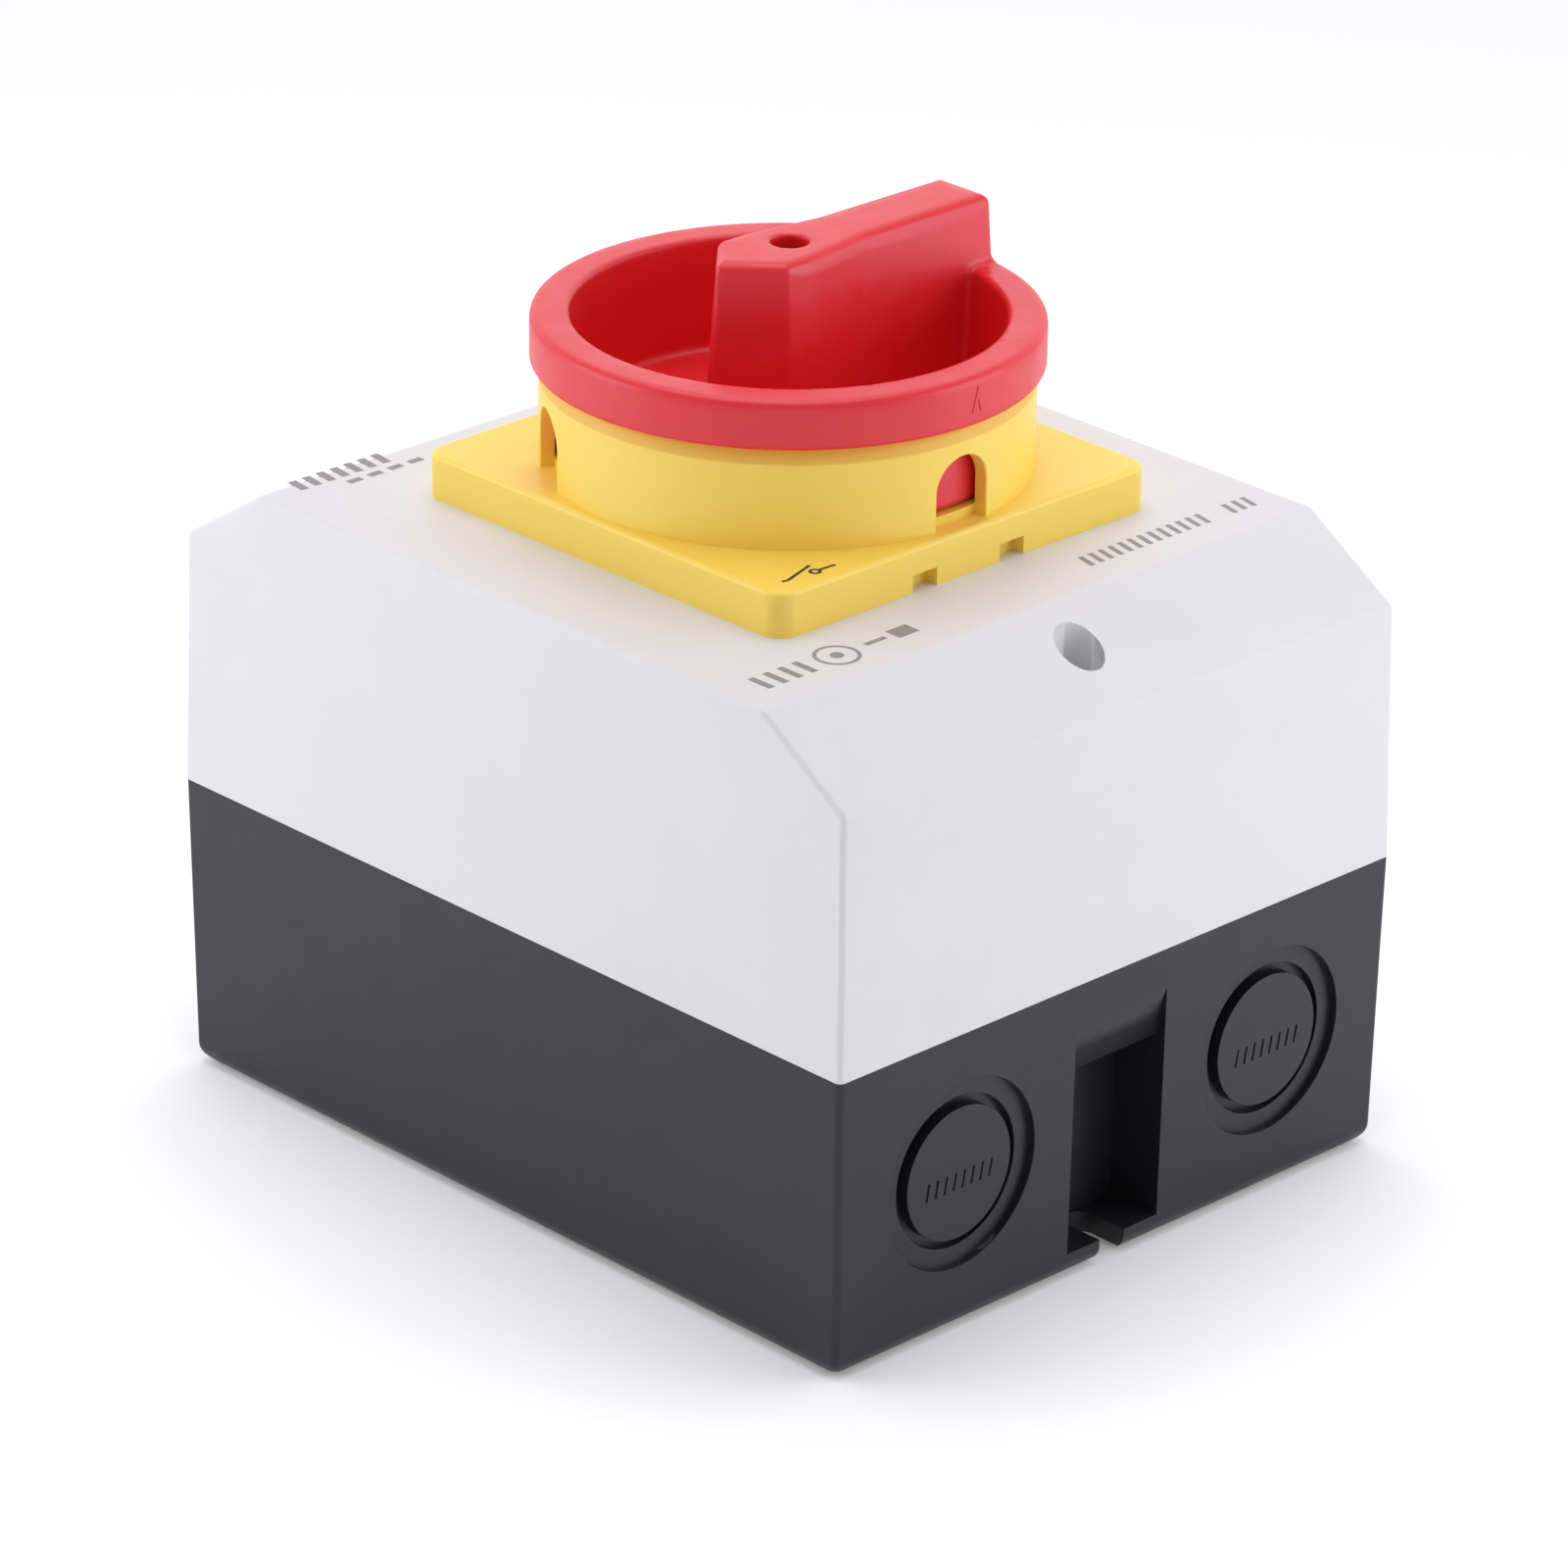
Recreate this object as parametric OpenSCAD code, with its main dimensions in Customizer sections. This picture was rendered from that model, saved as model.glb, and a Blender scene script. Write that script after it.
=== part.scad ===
// Padlockable rotary isolator switch in a surface-mounting enclosure.
// Lengths are in millimetres. The box lies on its back: z = 0 is the wall face,
// X runs across its width, Y along its length, and the handle turns about Z.
// At rest the handle points along +X and the contacts are closed.

/* [Enclosure] */
// Width of the box at the joint between base and cover
box_w = 98; // [97:0.5:100]
// Length of the box at the joint between base and cover
box_l = 122; // [121:0.5:124]
// Height of the joint between base and cover
joint_z = 40.7; // [40:0.1:42]
// Height of the cover's flat top face
top_z = 84.5; // [84:0.1:86]
// Height at which the sloping ends of the cover begin
shoulder_z = 75.25; // [74:0.25:77]
// How far in from the end of the box the sloping end meets the top
slope_run = 15.1; // [14:0.1:16]
// Thickness of the side walls
wall = 2.8; // [2.6:0.1:3]
// Thickness of the floor and of the cover's top
floor_t = 3; // [2.8:0.1:3.2]
// How far each side wall leans in over the height of the base
base_draft = 0.5; // [0.2:0.1:0.8]
// How far each side wall leans in over the height of the cover
cover_draft = 0.7; // [0.3:0.1:0.9]
// Rounding of the base's bottom edges
foot_r = 2.5; // [1.5:0.5:3]
// Distance between the two cover screws
cover_screw_pitch = 103.4; // [102:0.2:104]
// Bore of the cover screw's access hole
access_d = 6.5; // [6:0.1:7]

/* [Cable entries and wall fixing] */
// Diameter of the smaller knockout in each entry
knockout_small_d = 20.4; // [20:0.1:21]
// Diameter of the larger knockout in each entry
knockout_large_d = 25.6; // [25:0.1:26]
// Distance between the two entries of an end wall
knockout_pitch = 55.2; // [54:0.2:57]
// Height of the entries' centres
knockout_z = 21.4; // [20:0.2:22]
// Width of the pocket that hides each wall screw
pocket_w = 16.2; // [15:0.2:17]
// Depth of the pocket from the end face
pocket_depth = 8.6; // [8:0.1:9]
// Height at which the pocket's sloping mouth begins
pocket_top_z = 35.6; // [35:0.1:36]
// Distance between the two wall screws
fixing_pitch = 110; // [109:0.2:111]
// Width of the notch for a wall screw
notch_w = 4.4; // [4.2:0.1:5]

/* [Escutcheon] */
// Side of the square front plate
plate_w = 65; // [64:0.5:66]
// Thickness of the front plate
plate_t = 6; // [5.5:0.1:6.5]
// Corner radius of the front plate
plate_r = 2.8; // [2:0.1:4]
// Outer radius of the padlock collar
collar_r = 31.35; // [31:0.05:31.5]
// Wall of the padlock collar
collar_wall = 1.95; // [1.8:0.05:2.1]
// Height of the collar's rim
collar_top_z = 103.5; // [103:0.1:103.5]
// Half-width of each padlock window
window_r = 4.3; // [4.1:0.1:4.5]
// Height of the top of each window's arch
window_top_z = 99.8; // [99:0.1:100]

/* [Handle] */
// Outer radius of the handle's grip ring
ring_r = 32.5; // [32.3:0.1:33]
// Radius of the ring's opening
cup_r = 27.5; // [27:0.1:28]
// Underside and top of the grip ring
ring_z = [103.9, 110.4]; // [103:0.1:112]
// Height of the cup's floor
cup_floor_z = 95.6; // [95:0.1:96]
// Top of the grip bar
grip_top_z = 119.4; // [118.4:0.5:121.4]
// Half-width of the grip bar at the top of its sides
grip_half_w = 4.5; // [4.2:0.1:4.8]
// Reach of the grip bar from the axis
grip_reach = 31; // [30.5:0.1:31.5]
// Half-width of the grip's boss, beside the axis
boss_half_w = 6.25; // [6:0.05:6.5]
// Distance from the axis to the point at the grip's tail
tail_reach = 12.6; // [12:0.1:13]
// Bore over the handle screw
screw_hole_d = 4.9; // [4.8:0.1:5.2]

/* [Switch] */
// Number of poles, one contact chamber each
poles = 3; // [3]
// Footprint of the contact chambers
chamber_w = 54; // [54:0.5:56]
// Length of the contact chambers
chamber_l = 52; // [52:0.5:54]
// Height of one contact chamber
chamber_h = 11; // [11:0.1:11.4]
// Travel of the contact carriers from closed to open
contact_travel = 3.5; // [3:0.1:3.5]
// Turn of the handle from closed to open, in degrees
handle_turn = 90; // [90]
// Width of the square shafts
shaft_w = 5.9; // [5.8:0.05:5.95]

/* [Hidden] */
$fn = 64;

// Gasket joint between base and cover
channel_w = 2.2;
rib_t = 1.6;
rim = wall + channel_w + rib_t;
ledge_z = joint_z - 7.5;
channel_z = joint_z - 5;
gasket_h = 2.2;
tongue_gap = 0.2;
corner_r = 3;

// Cover screws
cover_screw_y = cover_screw_pitch / 2;
cover_head_z = 50;
cover_screw_r = 1.95;
boss_r = 4.2;
tube_r = 5;

// Knockouts, in depths below the end face
knockout_draft = 0.25;
knockout_recess = 1;
knockout_disc_depth = 0.4;
knockout_groove_w = 1.25;
knockout_groove_depth = 2.2;
knockout_inner_depth = 1;

// End pockets
pocket_z = [3.3, 28.3];
pocket_lip = 1.6;
pocket_side = 2.2;
block_top_z = 31;
relief_half_w = 6.4;
relief_h = 0.5;

// Escutcheon fixing and bearing
escutcheon_screw_at = 24;
bearing_r = 9.05;
spigot_r = 11.5;
spigot_z = top_z - 3.5;
plate_z = top_z + plate_t;
collar_inner_r = collar_r - collar_wall;
window_angles = [270, 152, 28];
sill_z = plate_z + 1.25;
notch_at = 7.6;
notch_half_w = 2.1;
notch_depth = 1.8;
notch_h = 2.4;
seal_half = 29;
seal_w = 2;
seal_t = 1.2;

// Handle hub and skirt
hub_r = 9;
hub_z = 77;
skirt_r = 28.8;
skirt_z = 92.1;
cup_floor_r = 26;
cup_floor_t = 2.5;
seal_groove = [86, 88.2];
ring_groove = [79.6, 80.8];
groove_r = 7.3;
grip_draft = 1.55;
grip_round = 1.3;
shackle_r = 3.1;
shackle_tilt = 35;
shackle_angles = [180, 59, -59];
handle_screw_seat_z = 106;

// Shafts
shaft_top_z = 104;
shaft_split_z = 68;
coupling_z = [61, 75];
socket_w = shaft_w + 0.1;

// Where the mounting plate and the switch are screwed down
mount_screw_at = [33, 38];
ear_x = 30.5;

// Height of each level of the switch
mount_z = 7;
mount_t = 1.5;
base_z = mount_z + mount_t;
base_t = 4;
stack_z = base_z + base_t;
detent_z = stack_z + poles * chamber_h;
detent_h = 12;
lid_z = detent_z + detent_h;
lid_t = 2.5;
tie_bolt_at = [22, -21];
tie_bolt_r = 1.95;

// Contact chamber, in heights above the chamber's underside
chamber_floor = 1.6;
cam_z = [2.2, 9.6];
cam_low_r = 6.5;
carrier_z = [2.4, 9];
carrier_half_w = 4.5;
carrier_back = 18;
bridge_z = [3.25, 8.15];
bridge_x = [11.55, 12.95];
bridge_half_l = 16;
tip_y = 13;
tip_x = 10.3;
strip_x = [7.8, 9.2];
strip_z = [3.5, 8];
terminal_x = 0;
terminal_z = 5.75;
spring_seat_x = 25;

// Detent wheel and its leaf springs
wheel_half = 9;
wheel_corner_r = 11;
leaf_t = 0.6;
leaf_x = wheel_half + 0.1 + leaf_t / 2;
leaf_half_l = 19.8;

// Stop disc's tab and the lugs that it meets, as half angles in degrees
stop_tab_half = 10;
stop_lug_half = 8;
stop_clearance = 1;

// Terminal bars beside the switch
bar_x = 40;
bar_w = 8;
bar_l = 34;
bar_h = 8;
bar_screw_pitch = 8;
bar_end_y = 13.5;

function chamber_z(i) = stack_z + (i - 1) * chamber_h;
function arc(cx, cy, r, a0, a1, n = 8) =
    [for (i = [0:n]) let (a = a0 + (a1 - a0) * i / n) [cx + r * cos(a), cy + r * sin(a)]];
function mirrored(half) =
    concat(half, [for (i = [len(half) - 1:-1:0]) [-half[i][0], half[i][1]]]);
function base_half(half) =
    concat(arc(half - base_draft - foot_r, foot_r, foot_r, -90, 0), [[half, joint_z]]);

module rounded_rect(w, l, r) {
    square([w - 2 * r, l], center = true);
    square([w, l - 2 * r], center = true);
    for (x = [-1, 1], y = [-1, 1])
        translate([x * (w / 2 - r), y * (l / 2 - r)]) circle(r);
}

module rounded_plate(w, l, r, z0, z1) {
    translate([0, 0, z0]) linear_extrude(z1 - z0) rounded_rect(w, l, r);
}

// Rectangular frame that lies between two insets from the outline of the box
module box_ring(outer_inset, inner_inset, z0, z1) {
    translate([0, 0, z0]) linear_extrude(z1 - z0) difference() {
        rounded_rect(box_w - 2 * outer_inset, box_l - 2 * outer_inset, corner_r);
        rounded_rect(box_w - 2 * inner_inset, box_l - 2 * inner_inset, corner_r);
    }
}

// Block from corner a to corner b
module block(a, b) {
    translate(a) cube(b - a);
}

// Solid with one outline seen along Y and another seen along X
module crossed(outline_x, outline_y) {
    intersection() {
        rotate([90, 0, 0]) linear_extrude(2 * box_l, center = true) polygon(outline_x);
        rotate([90, 0, 90]) linear_extrude(2 * box_l, center = true) polygon(outline_y);
    }
}

module at_both_ends() {
    children();
    mirror([0, 1, 0]) children();
}

module at_diagonal() {
    for (s = [-1, 1]) translate([s * tie_bolt_at[0], s * tie_bolt_at[1], 0]) children();
}

// Screw with a round head on the z = 0 plane, a cross recess and a plain shank below
module screw(shank_r, length, head_r, head_h) {
    difference() {
        union() {
            translate([0, 0, -length]) cylinder(r = shank_r, h = length + head_h / 2);
            cylinder(r = head_r, h = head_h);
        }
        for (a = [0, 90]) rotate(a)
            translate([-head_r * 0.6, -head_r * 0.14, head_h * 0.45])
                cube([head_r * 1.2, head_r * 0.28, head_h]);
    }
}

module square_bar(w, z0, z1) {
    block([-w / 2, -w / 2, z0], [w / 2, w / 2, z1]);
}

// Sector of a ring between two radii, centred on the +X direction
module sector(r0, r1, half_angle, z0, z1) {
    translate([0, 0, z0]) linear_extrude(z1 - z0)
        polygon(concat(arc(0, 0, r0, half_angle, -half_angle), arc(0, 0, r1, -half_angle, half_angle)));
}

// ---------------------------------------------------------------- enclosure

// Material to cut for one knockout: a round recess, and a deeper groove round a raised disc.
// A groove on the inside marks the larger size. z = 0 is the end face and +Z goes into the wall.
module knockout() {
    small_r = knockout_small_d / 2;
    large_r = knockout_large_d / 2;
    disc_r = small_r - knockout_groove_w;
    difference() {
        union() {
            translate([0, 0, -1]) cylinder(r = large_r, h = 1 + knockout_recess);
            translate([0, 0, -1]) cylinder(r = small_r, h = 1 + knockout_groove_depth);
        }
        translate([0, 0, knockout_disc_depth]) cylinder(r = disc_r, h = wall);
    }
    translate([0, 0, wall - knockout_inner_depth]) difference() {
        cylinder(r = large_r, h = wall);
        translate([0, 0, -1]) cylinder(r = large_r - 0.9, h = wall + 2);
    }
}

// Pocket, ramp and notch for a wall screw in the -Y end
module wall_pocket() {
    end_y = -box_l / 2;
    half_w = pocket_w / 2;
    block([-half_w, end_y - 1, pocket_z[0]], [half_w, end_y + pocket_depth, pocket_z[1]]);
    translate([-half_w, 0, 0]) rotate([90, 0, 90]) linear_extrude(pocket_w)
        polygon([[end_y - 1, pocket_z[1] - 1], [end_y + pocket_lip, pocket_z[1] - 1],
            [end_y + pocket_lip, pocket_z[1]], [end_y, pocket_top_z], [end_y - 1, pocket_top_z]]);
    block([-notch_w / 2, end_y - 1, -1], [notch_w / 2, -fixing_pitch / 2, pocket_z[0] + 1]);
    translate([0, -fixing_pitch / 2, -1]) cylinder(r = notch_w / 2, h = pocket_z[0] + 2);
    block([-relief_half_w, end_y - 1, -1], [relief_half_w, end_y + pocket_depth + 2, relief_h]);
}

module base_enclosure() {
    inner_w = box_w - 2 * wall;
    inner_l = box_l - 2 * wall;
    block_y = cover_screw_y - boss_r;
    color("#47464c") difference() {
        union() {
            difference() {
                crossed(mirrored(base_half(box_w / 2)), mirrored(base_half(box_l / 2)));
                rounded_plate(inner_w, inner_l, corner_r, floor_t, ledge_z);
                rounded_plate(box_w - 2 * rim, box_l - 2 * rim, corner_r, floor_t, joint_z + 1);
            }
            at_both_ends() {
                half_w = pocket_w / 2 + pocket_side;
                block([-half_w, -inner_l / 2 - 1, 1], [half_w, -block_y, block_top_z]);
                translate([0, -cover_screw_y, 1]) cylinder(r = boss_r, h = joint_z - 1);
                block([-1.5, -inner_l / 2 - 1, 1], [1.5, -cover_screw_y, ledge_z + 1]);
                for (x = [-1, 1]) translate([x * mount_screw_at[0], -mount_screw_at[1], 1])
                    cylinder(r = 4, h = mount_z - 1);
                for (x = [-bar_x, bar_x]) translate([x, -bar_end_y, 1]) cylinder(r = 3.4, h = mount_z - 1);
            }
        }
        box_ring(wall, wall + channel_w, channel_z, joint_z + 1);
        box_ring(wall + channel_w / 2, rim + 0.01, joint_z - 1, joint_z + 1);
        at_both_ends() {
            wall_pocket();
            translate([0, -cover_screw_y, block_top_z - 1]) cylinder(r = cover_screw_r + 0.05, h = joint_z);
            for (x = [-1, 1]) translate([x * knockout_pitch / 2, -box_l / 2 + knockout_draft, knockout_z])
                rotate([-90, 0, 0]) knockout();
            for (x = [-1, 1]) translate([x * mount_screw_at[0], -mount_screw_at[1], 1.5])
                cylinder(r = 1.5, h = mount_z);
            for (x = [-bar_x, bar_x]) translate([x, -bar_end_y, 1.5]) cylinder(r = 1.5, h = mount_z);
        }
    }
}

module cover() {
    half_w = box_w / 2;
    half_l = box_l / 2;
    outer_x = mirrored([[half_w, joint_z], [half_w - cover_draft, top_z]]);
    outer_y = mirrored([[half_l, joint_z], [half_l - cover_draft, shoulder_z],
        [half_l - slope_run, top_z]]);
    inner_x = mirrored([[half_w - wall, joint_z - 1], [half_w - wall - cover_draft, top_z - floor_t]]);
    inner_y = mirrored([[half_l - wall, joint_z - 1], [half_l - wall - cover_draft, shoulder_z - 1.4],
        [half_l - slope_run - 0.9, top_z - floor_t]]);
    tongue = wall + tongue_gap;
    tongue_end = wall + channel_w - tongue_gap;
    color("#e3e2e7") difference() {
        union() {
            difference() {
                crossed(outer_x, outer_y);
                difference() {
                    crossed(inner_x, inner_y);
                    at_both_ends() translate([0, -cover_screw_y, joint_z])
                        cylinder(r = tube_r, h = top_z);
                    box_ring(-1, tongue_end, joint_z, joint_z + 2.3);
                }
            }
            box_ring(tongue, tongue_end, channel_z + gasket_h, joint_z + 1);
        }
        at_both_ends() translate([0, -cover_screw_y, 0]) {
            cylinder(r = 2.2, h = top_z);
            translate([0, 0, cover_head_z]) cylinder(r = access_d / 2, h = top_z);
        }
        translate([0, 0, top_z - 5]) cylinder(r = spigot_r + 0.3, h = 10);
        for (x = [-1, 1], y = [-1, 1])
            translate([x * escutcheon_screw_at, y * escutcheon_screw_at, top_z - 5])
                cylinder(r = 2.2, h = 10);
    }
}

module cover_gasket() {
    color("#2b2b2d") box_ring(wall + 0.1, wall + channel_w - 0.1, channel_z, channel_z + gasket_h);
}

module cover_screws() {
    color("#c9cbce") at_both_ends() translate([0, -cover_screw_y, cover_head_z + 1.2])
        screw(cover_screw_r, 20, 3, 2.6);
}

module cover_screw_seals() {
    color("#2b2b2d") at_both_ends() translate([0, -cover_screw_y, cover_head_z])
        difference() {
            cylinder(r = 3.1, h = 1.2);
            translate([0, 0, -1]) cylinder(r = 2, h = 4);
        }
}

// --------------------------------------------------------------- escutcheon

module padlock_window() {
    arch_z = window_top_z - window_r;
    block([collar_inner_r - 3, -window_r, plate_z], [collar_r + 3, window_r, arch_z]);
    translate([collar_inner_r - 3, 0, arch_z]) rotate([0, 90, 0])
        cylinder(r = window_r, h = collar_wall + 6);
}

module escutcheon_plate() {
    shoulder = 1.8;
    color("#e9b93c") difference() {
        union() {
            rounded_plate(plate_w, plate_w, plate_r, top_z, plate_z);
            translate([0, 0, spigot_z]) cylinder(r = spigot_r, h = plate_t);
            // Raised floor inside the collar
            translate([0, 0, plate_z - 1]) cylinder(r = collar_inner_r + 0.05, h = 1 + sill_z - plate_z);
            difference() {
                rotate_extrude() polygon(concat(
                    [[collar_inner_r, plate_z - 1], [collar_r, plate_z - 1]],
                    arc(collar_r - shoulder, collar_top_z - shoulder, shoulder, 0, 90, 6),
                    [[collar_inner_r, collar_top_z]]));
                for (a = window_angles) rotate(a) padlock_window();
            }
        }
        translate([0, 0, spigot_z - 1]) cylinder(r = bearing_r, h = plate_t + 10);
        for (x = [-1, 1], y = [-1, 1])
            translate([x * escutcheon_screw_at, y * escutcheon_screw_at, top_z - 1])
                cylinder(r = 1.95, h = 6);
        translate([0, 0, top_z - 1]) linear_extrude(seal_t + 1) difference() {
            rounded_rect(2 * seal_half, 2 * seal_half, corner_r);
            rounded_rect(2 * (seal_half - seal_w), 2 * (seal_half - seal_w), corner_r);
        }
        // Moulding notches
        at_both_ends() for (x = [-notch_at, notch_at])
            block([x - notch_half_w, -plate_w / 2 - 1, top_z - 1],
                [x + notch_half_w, -plate_w / 2 + notch_depth, top_z + notch_h]);
    }
}

module escutcheon_seal() {
    slack = 0.1;
    color("#2b2b2d") translate([0, 0, top_z]) linear_extrude(seal_t) difference() {
        rounded_rect(2 * (seal_half - slack), 2 * (seal_half - slack), corner_r);
        rounded_rect(2 * (seal_half - seal_w + slack), 2 * (seal_half - seal_w + slack), corner_r);
    }
}

module escutcheon_screws() {
    color("#c9cbce") for (x = [-1, 1], y = [-1, 1])
        translate([x * escutcheon_screw_at, y * escutcheon_screw_at, top_z - floor_t])
            mirror([0, 0, 1]) screw(1.9, 7, 3.6, 2.4);
}

// ------------------------------------------------------------------- handle

// Outline of the grip bar; grow widens it all round
module grip_outline(grow) {
    half_w = grip_half_w + grow;
    translate([-6, -half_w]) square([grip_reach + 6 + grow / 2, 2 * half_w]);
}

// Outline of the grip's boss, with its pointed tail
module boss_outline(grow) {
    half_w = boss_half_w + grow;
    tail = tail_reach + grow;
    polygon([[-tail, 0], [-tail + half_w, -half_w], [-2, -half_w], [10, -grip_half_w - grow],
        [10, grip_half_w + grow], [-2, half_w], [-tail + half_w, half_w]]);
}

module handle() {
    ring_round = 1;
    lip = 0.5;
    skin = 0.01;
    color("#c8171e") difference() {
        union() {
            rotate_extrude() polygon(concat(
                [[0, hub_z], [hub_r, hub_z], [hub_r, ring_groove[0]], [groove_r, ring_groove[0]],
                    [groove_r, ring_groove[1]], [hub_r, ring_groove[1]],
                    [hub_r, seal_groove[0]], [groove_r, seal_groove[0]],
                    [groove_r, seal_groove[1]], [hub_r, seal_groove[1]],
                    [hub_r, cup_floor_z - cup_floor_t], [cup_floor_r, cup_floor_z - cup_floor_t],
                    [cup_floor_r, skirt_z], [skirt_r, skirt_z], [skirt_r, ring_z[0]],
                    [ring_r, ring_z[0]]],
                arc(ring_r - ring_round, ring_z[1] - ring_round, ring_round, 0, 90, 6),
                arc(cup_r + lip, ring_z[1] - lip, lip, 90, 180, 4),
                [[cup_floor_r, cup_floor_z], [0, cup_floor_z]]));
            intersection() {
                union() {
                    hull() {
                        translate([0, 0, cup_floor_z - 1]) linear_extrude(skin) grip_outline(grip_draft);
                        translate([0, 0, grip_top_z - grip_round]) linear_extrude(skin) grip_outline(0);
                        translate([0, 0, grip_top_z - skin]) linear_extrude(skin)
                            grip_outline(-grip_round);
                    }
                    hull() {
                        translate([0, 0, cup_floor_z - 1]) linear_extrude(skin) boss_outline(grip_draft);
                        translate([0, 0, grip_top_z - grip_round]) linear_extrude(skin) boss_outline(0);
                        translate([0, 0, grip_top_z - skin]) linear_extrude(skin)
                            boss_outline(-grip_round);
                    }
                }
                union() {
                    translate([0, 0, cup_floor_z - 1.5]) cylinder(r = skirt_r - 0.5, h = 30);
                    translate([0, 0, ring_z[0] + 0.5]) cylinder(r = ring_r - 0.5, h = 30);
                }
            }
        }
        square_bar(socket_w, hub_z - 1, shaft_top_z + 0.2);
        translate([0, 0, shaft_top_z]) cylinder(r = 1.7, h = 10);
        translate([0, 0, handle_screw_seat_z]) cylinder(r = screw_hole_d / 2, h = 20);
        for (a = shackle_angles) rotate(a)
            translate([29, 0, cup_floor_z]) rotate([0, -90 + shackle_tilt, 0])
                translate([0, 0, -6]) cylinder(r = shackle_r, h = 16);
    }
}

module handle_screw() {
    color("#c9cbce") translate([0, 0, handle_screw_seat_z]) screw(1.5, 11, 2.35, 2.2);
}

module handle_seal() {
    seal_r = 0.82;
    color("#2b2b2d") translate([0, 0, (seal_groove[0] + seal_groove[1]) / 2])
        rotate_extrude() translate([groove_r + seal_r + 0.02, 0]) circle(seal_r);
}

module handle_retaining_ring() {
    gap = 3;
    color("#8f9296") translate([0, 0, ring_groove[0] + 0.1]) difference() {
        cylinder(r = 10.6, h = ring_groove[1] - ring_groove[0] - 0.2);
        translate([0, 0, -1]) cylinder(r = groove_r + 0.1, h = 4);
        block([0, -gap, -1], [20, gap, 4]);
    }
}

module handle_shaft() {
    color("#a9acb0") difference() {
        square_bar(shaft_w, shaft_split_z, shaft_top_z);
        translate([0, 0, shaft_top_z - 11]) cylinder(r = 1.55, h = 20);
    }
}

module shaft_coupling() {
    color("#3a3a3e") difference() {
        translate([0, 0, coupling_z[0]]) cylinder(r = 7.5, h = coupling_z[1] - coupling_z[0]);
        square_bar(socket_w, coupling_z[0] - 1, coupling_z[1] + 1);
        translate([0, 0, coupling_z[0] + 3.5]) rotate([0, -90, 0]) cylinder(r = 1.55, h = 10);
    }
}

module coupling_set_screw() {
    color("#8f9296") translate([0, 0, coupling_z[0] + 3.5]) rotate([0, -90, 0]) difference() {
        translate([0, 0, socket_w / 2]) cylinder(r = 1.5, h = 4);
        translate([0, 0, socket_w / 2 + 2.5]) cylinder(r = 0.8, h = 4, $fn = 6);
    }
}

// ------------------------------------------------------------ switch frame

module mounting_plate() {
    color("#b9bcc0") difference() {
        rounded_plate(70, 88, corner_r, mount_z, mount_z + mount_t);
        for (x = [-1, 1], y = [-1, 1])
            translate([x * mount_screw_at[0], y * mount_screw_at[1], 0]) cylinder(r = 1.9, h = 20);
        for (x = [-ear_x, ear_x]) translate([x, 0, 0]) cylinder(r = 1.75, h = 20);
        for (x = [-bar_x, bar_x]) block([x - 5.6, -bar_l / 2 - 1, 0], [x + 5.6, bar_l / 2 + 1, 20]);
    }
}

module mounting_plate_screws() {
    color("#c9cbce") for (x = [-1, 1], y = [-1, 1])
        translate([x * mount_screw_at[0], y * mount_screw_at[1], mount_z + mount_t])
            screw(1.45, 6, 2.9, 2);
}

module switch_base() {
    color("#2f2f33") difference() {
        union() {
            rounded_plate(chamber_w, chamber_l, corner_r, base_z, stack_z);
            block([-33.5, -5, base_z], [33.5, 5, base_z + 2.5]);
        }
        translate([0, 0, base_z + 1]) cylinder(r = 2.56, h = 10);
        for (x = [-ear_x, ear_x]) translate([x, 0, 0]) cylinder(r = 2.1, h = 20);
        at_diagonal() {
            cylinder(r = 2.1, h = 20);
            translate([0, 0, base_z - 1]) cylinder(r = 4.15, h = 4.2, $fn = 6);
        }
    }
}

module switch_fixing_screws() {
    color("#c9cbce") for (x = [-ear_x, ear_x])
        translate([x, 0, base_z + 2.5]) screw(1.7, 5.5, 3, 2.2);
}

module contact_chamber(i) {
    half_w = chamber_w / 2;
    half_l = chamber_l / 2;
    travel_x = bridge_x[1] + contact_travel;
    color("#3c3c40") translate([0, 0, chamber_z(i)]) difference() {
        union() {
            rounded_plate(chamber_w, chamber_l, corner_r, 0, chamber_h);
            // Barriers between the terminals of neighbouring poles
            at_both_ends() block([-9, -half_l - 7, 0], [11, -half_l + 1, chamber_floor]);
        }
        translate([0, 0, -1]) cylinder(r = 4.8, h = chamber_h);
        translate([0, 0, chamber_floor]) cylinder(r = cam_low_r + contact_travel + 0.5, h = chamber_h);
        block([0, -carrier_half_w - 0.2, carrier_z[0] - 0.3],
            [spring_seat_x, carrier_half_w + 0.2, chamber_h + 1]);
        block([strip_x[0] - 0.2, -bridge_half_l - 0.6, bridge_z[0] - 0.5],
            [travel_x + 0.6, bridge_half_l + 0.6, chamber_h + 1]);
        at_both_ends() block([strip_x[0] - 0.2, -half_l - 1, strip_z[0] - 0.1],
            [strip_x[1] + 0.2, -bridge_half_l, chamber_h + 1]);
        at_diagonal() translate([0, 0, -1]) cylinder(r = 2.1, h = chamber_h + 2);
        // Room for the tips of the terminal screws
        at_both_ends() translate([terminal_x, -half_l - 1, terminal_z]) rotate([-90, 0, 0])
            cylinder(r = 2, h = 3.5);
        // Lightening pocket on the side away from the contacts
        block([-22, -13, chamber_floor + 2], [-13, 13, chamber_h + 1]);
    }
}

// ------------------------------------------------- parts that open the poles

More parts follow.
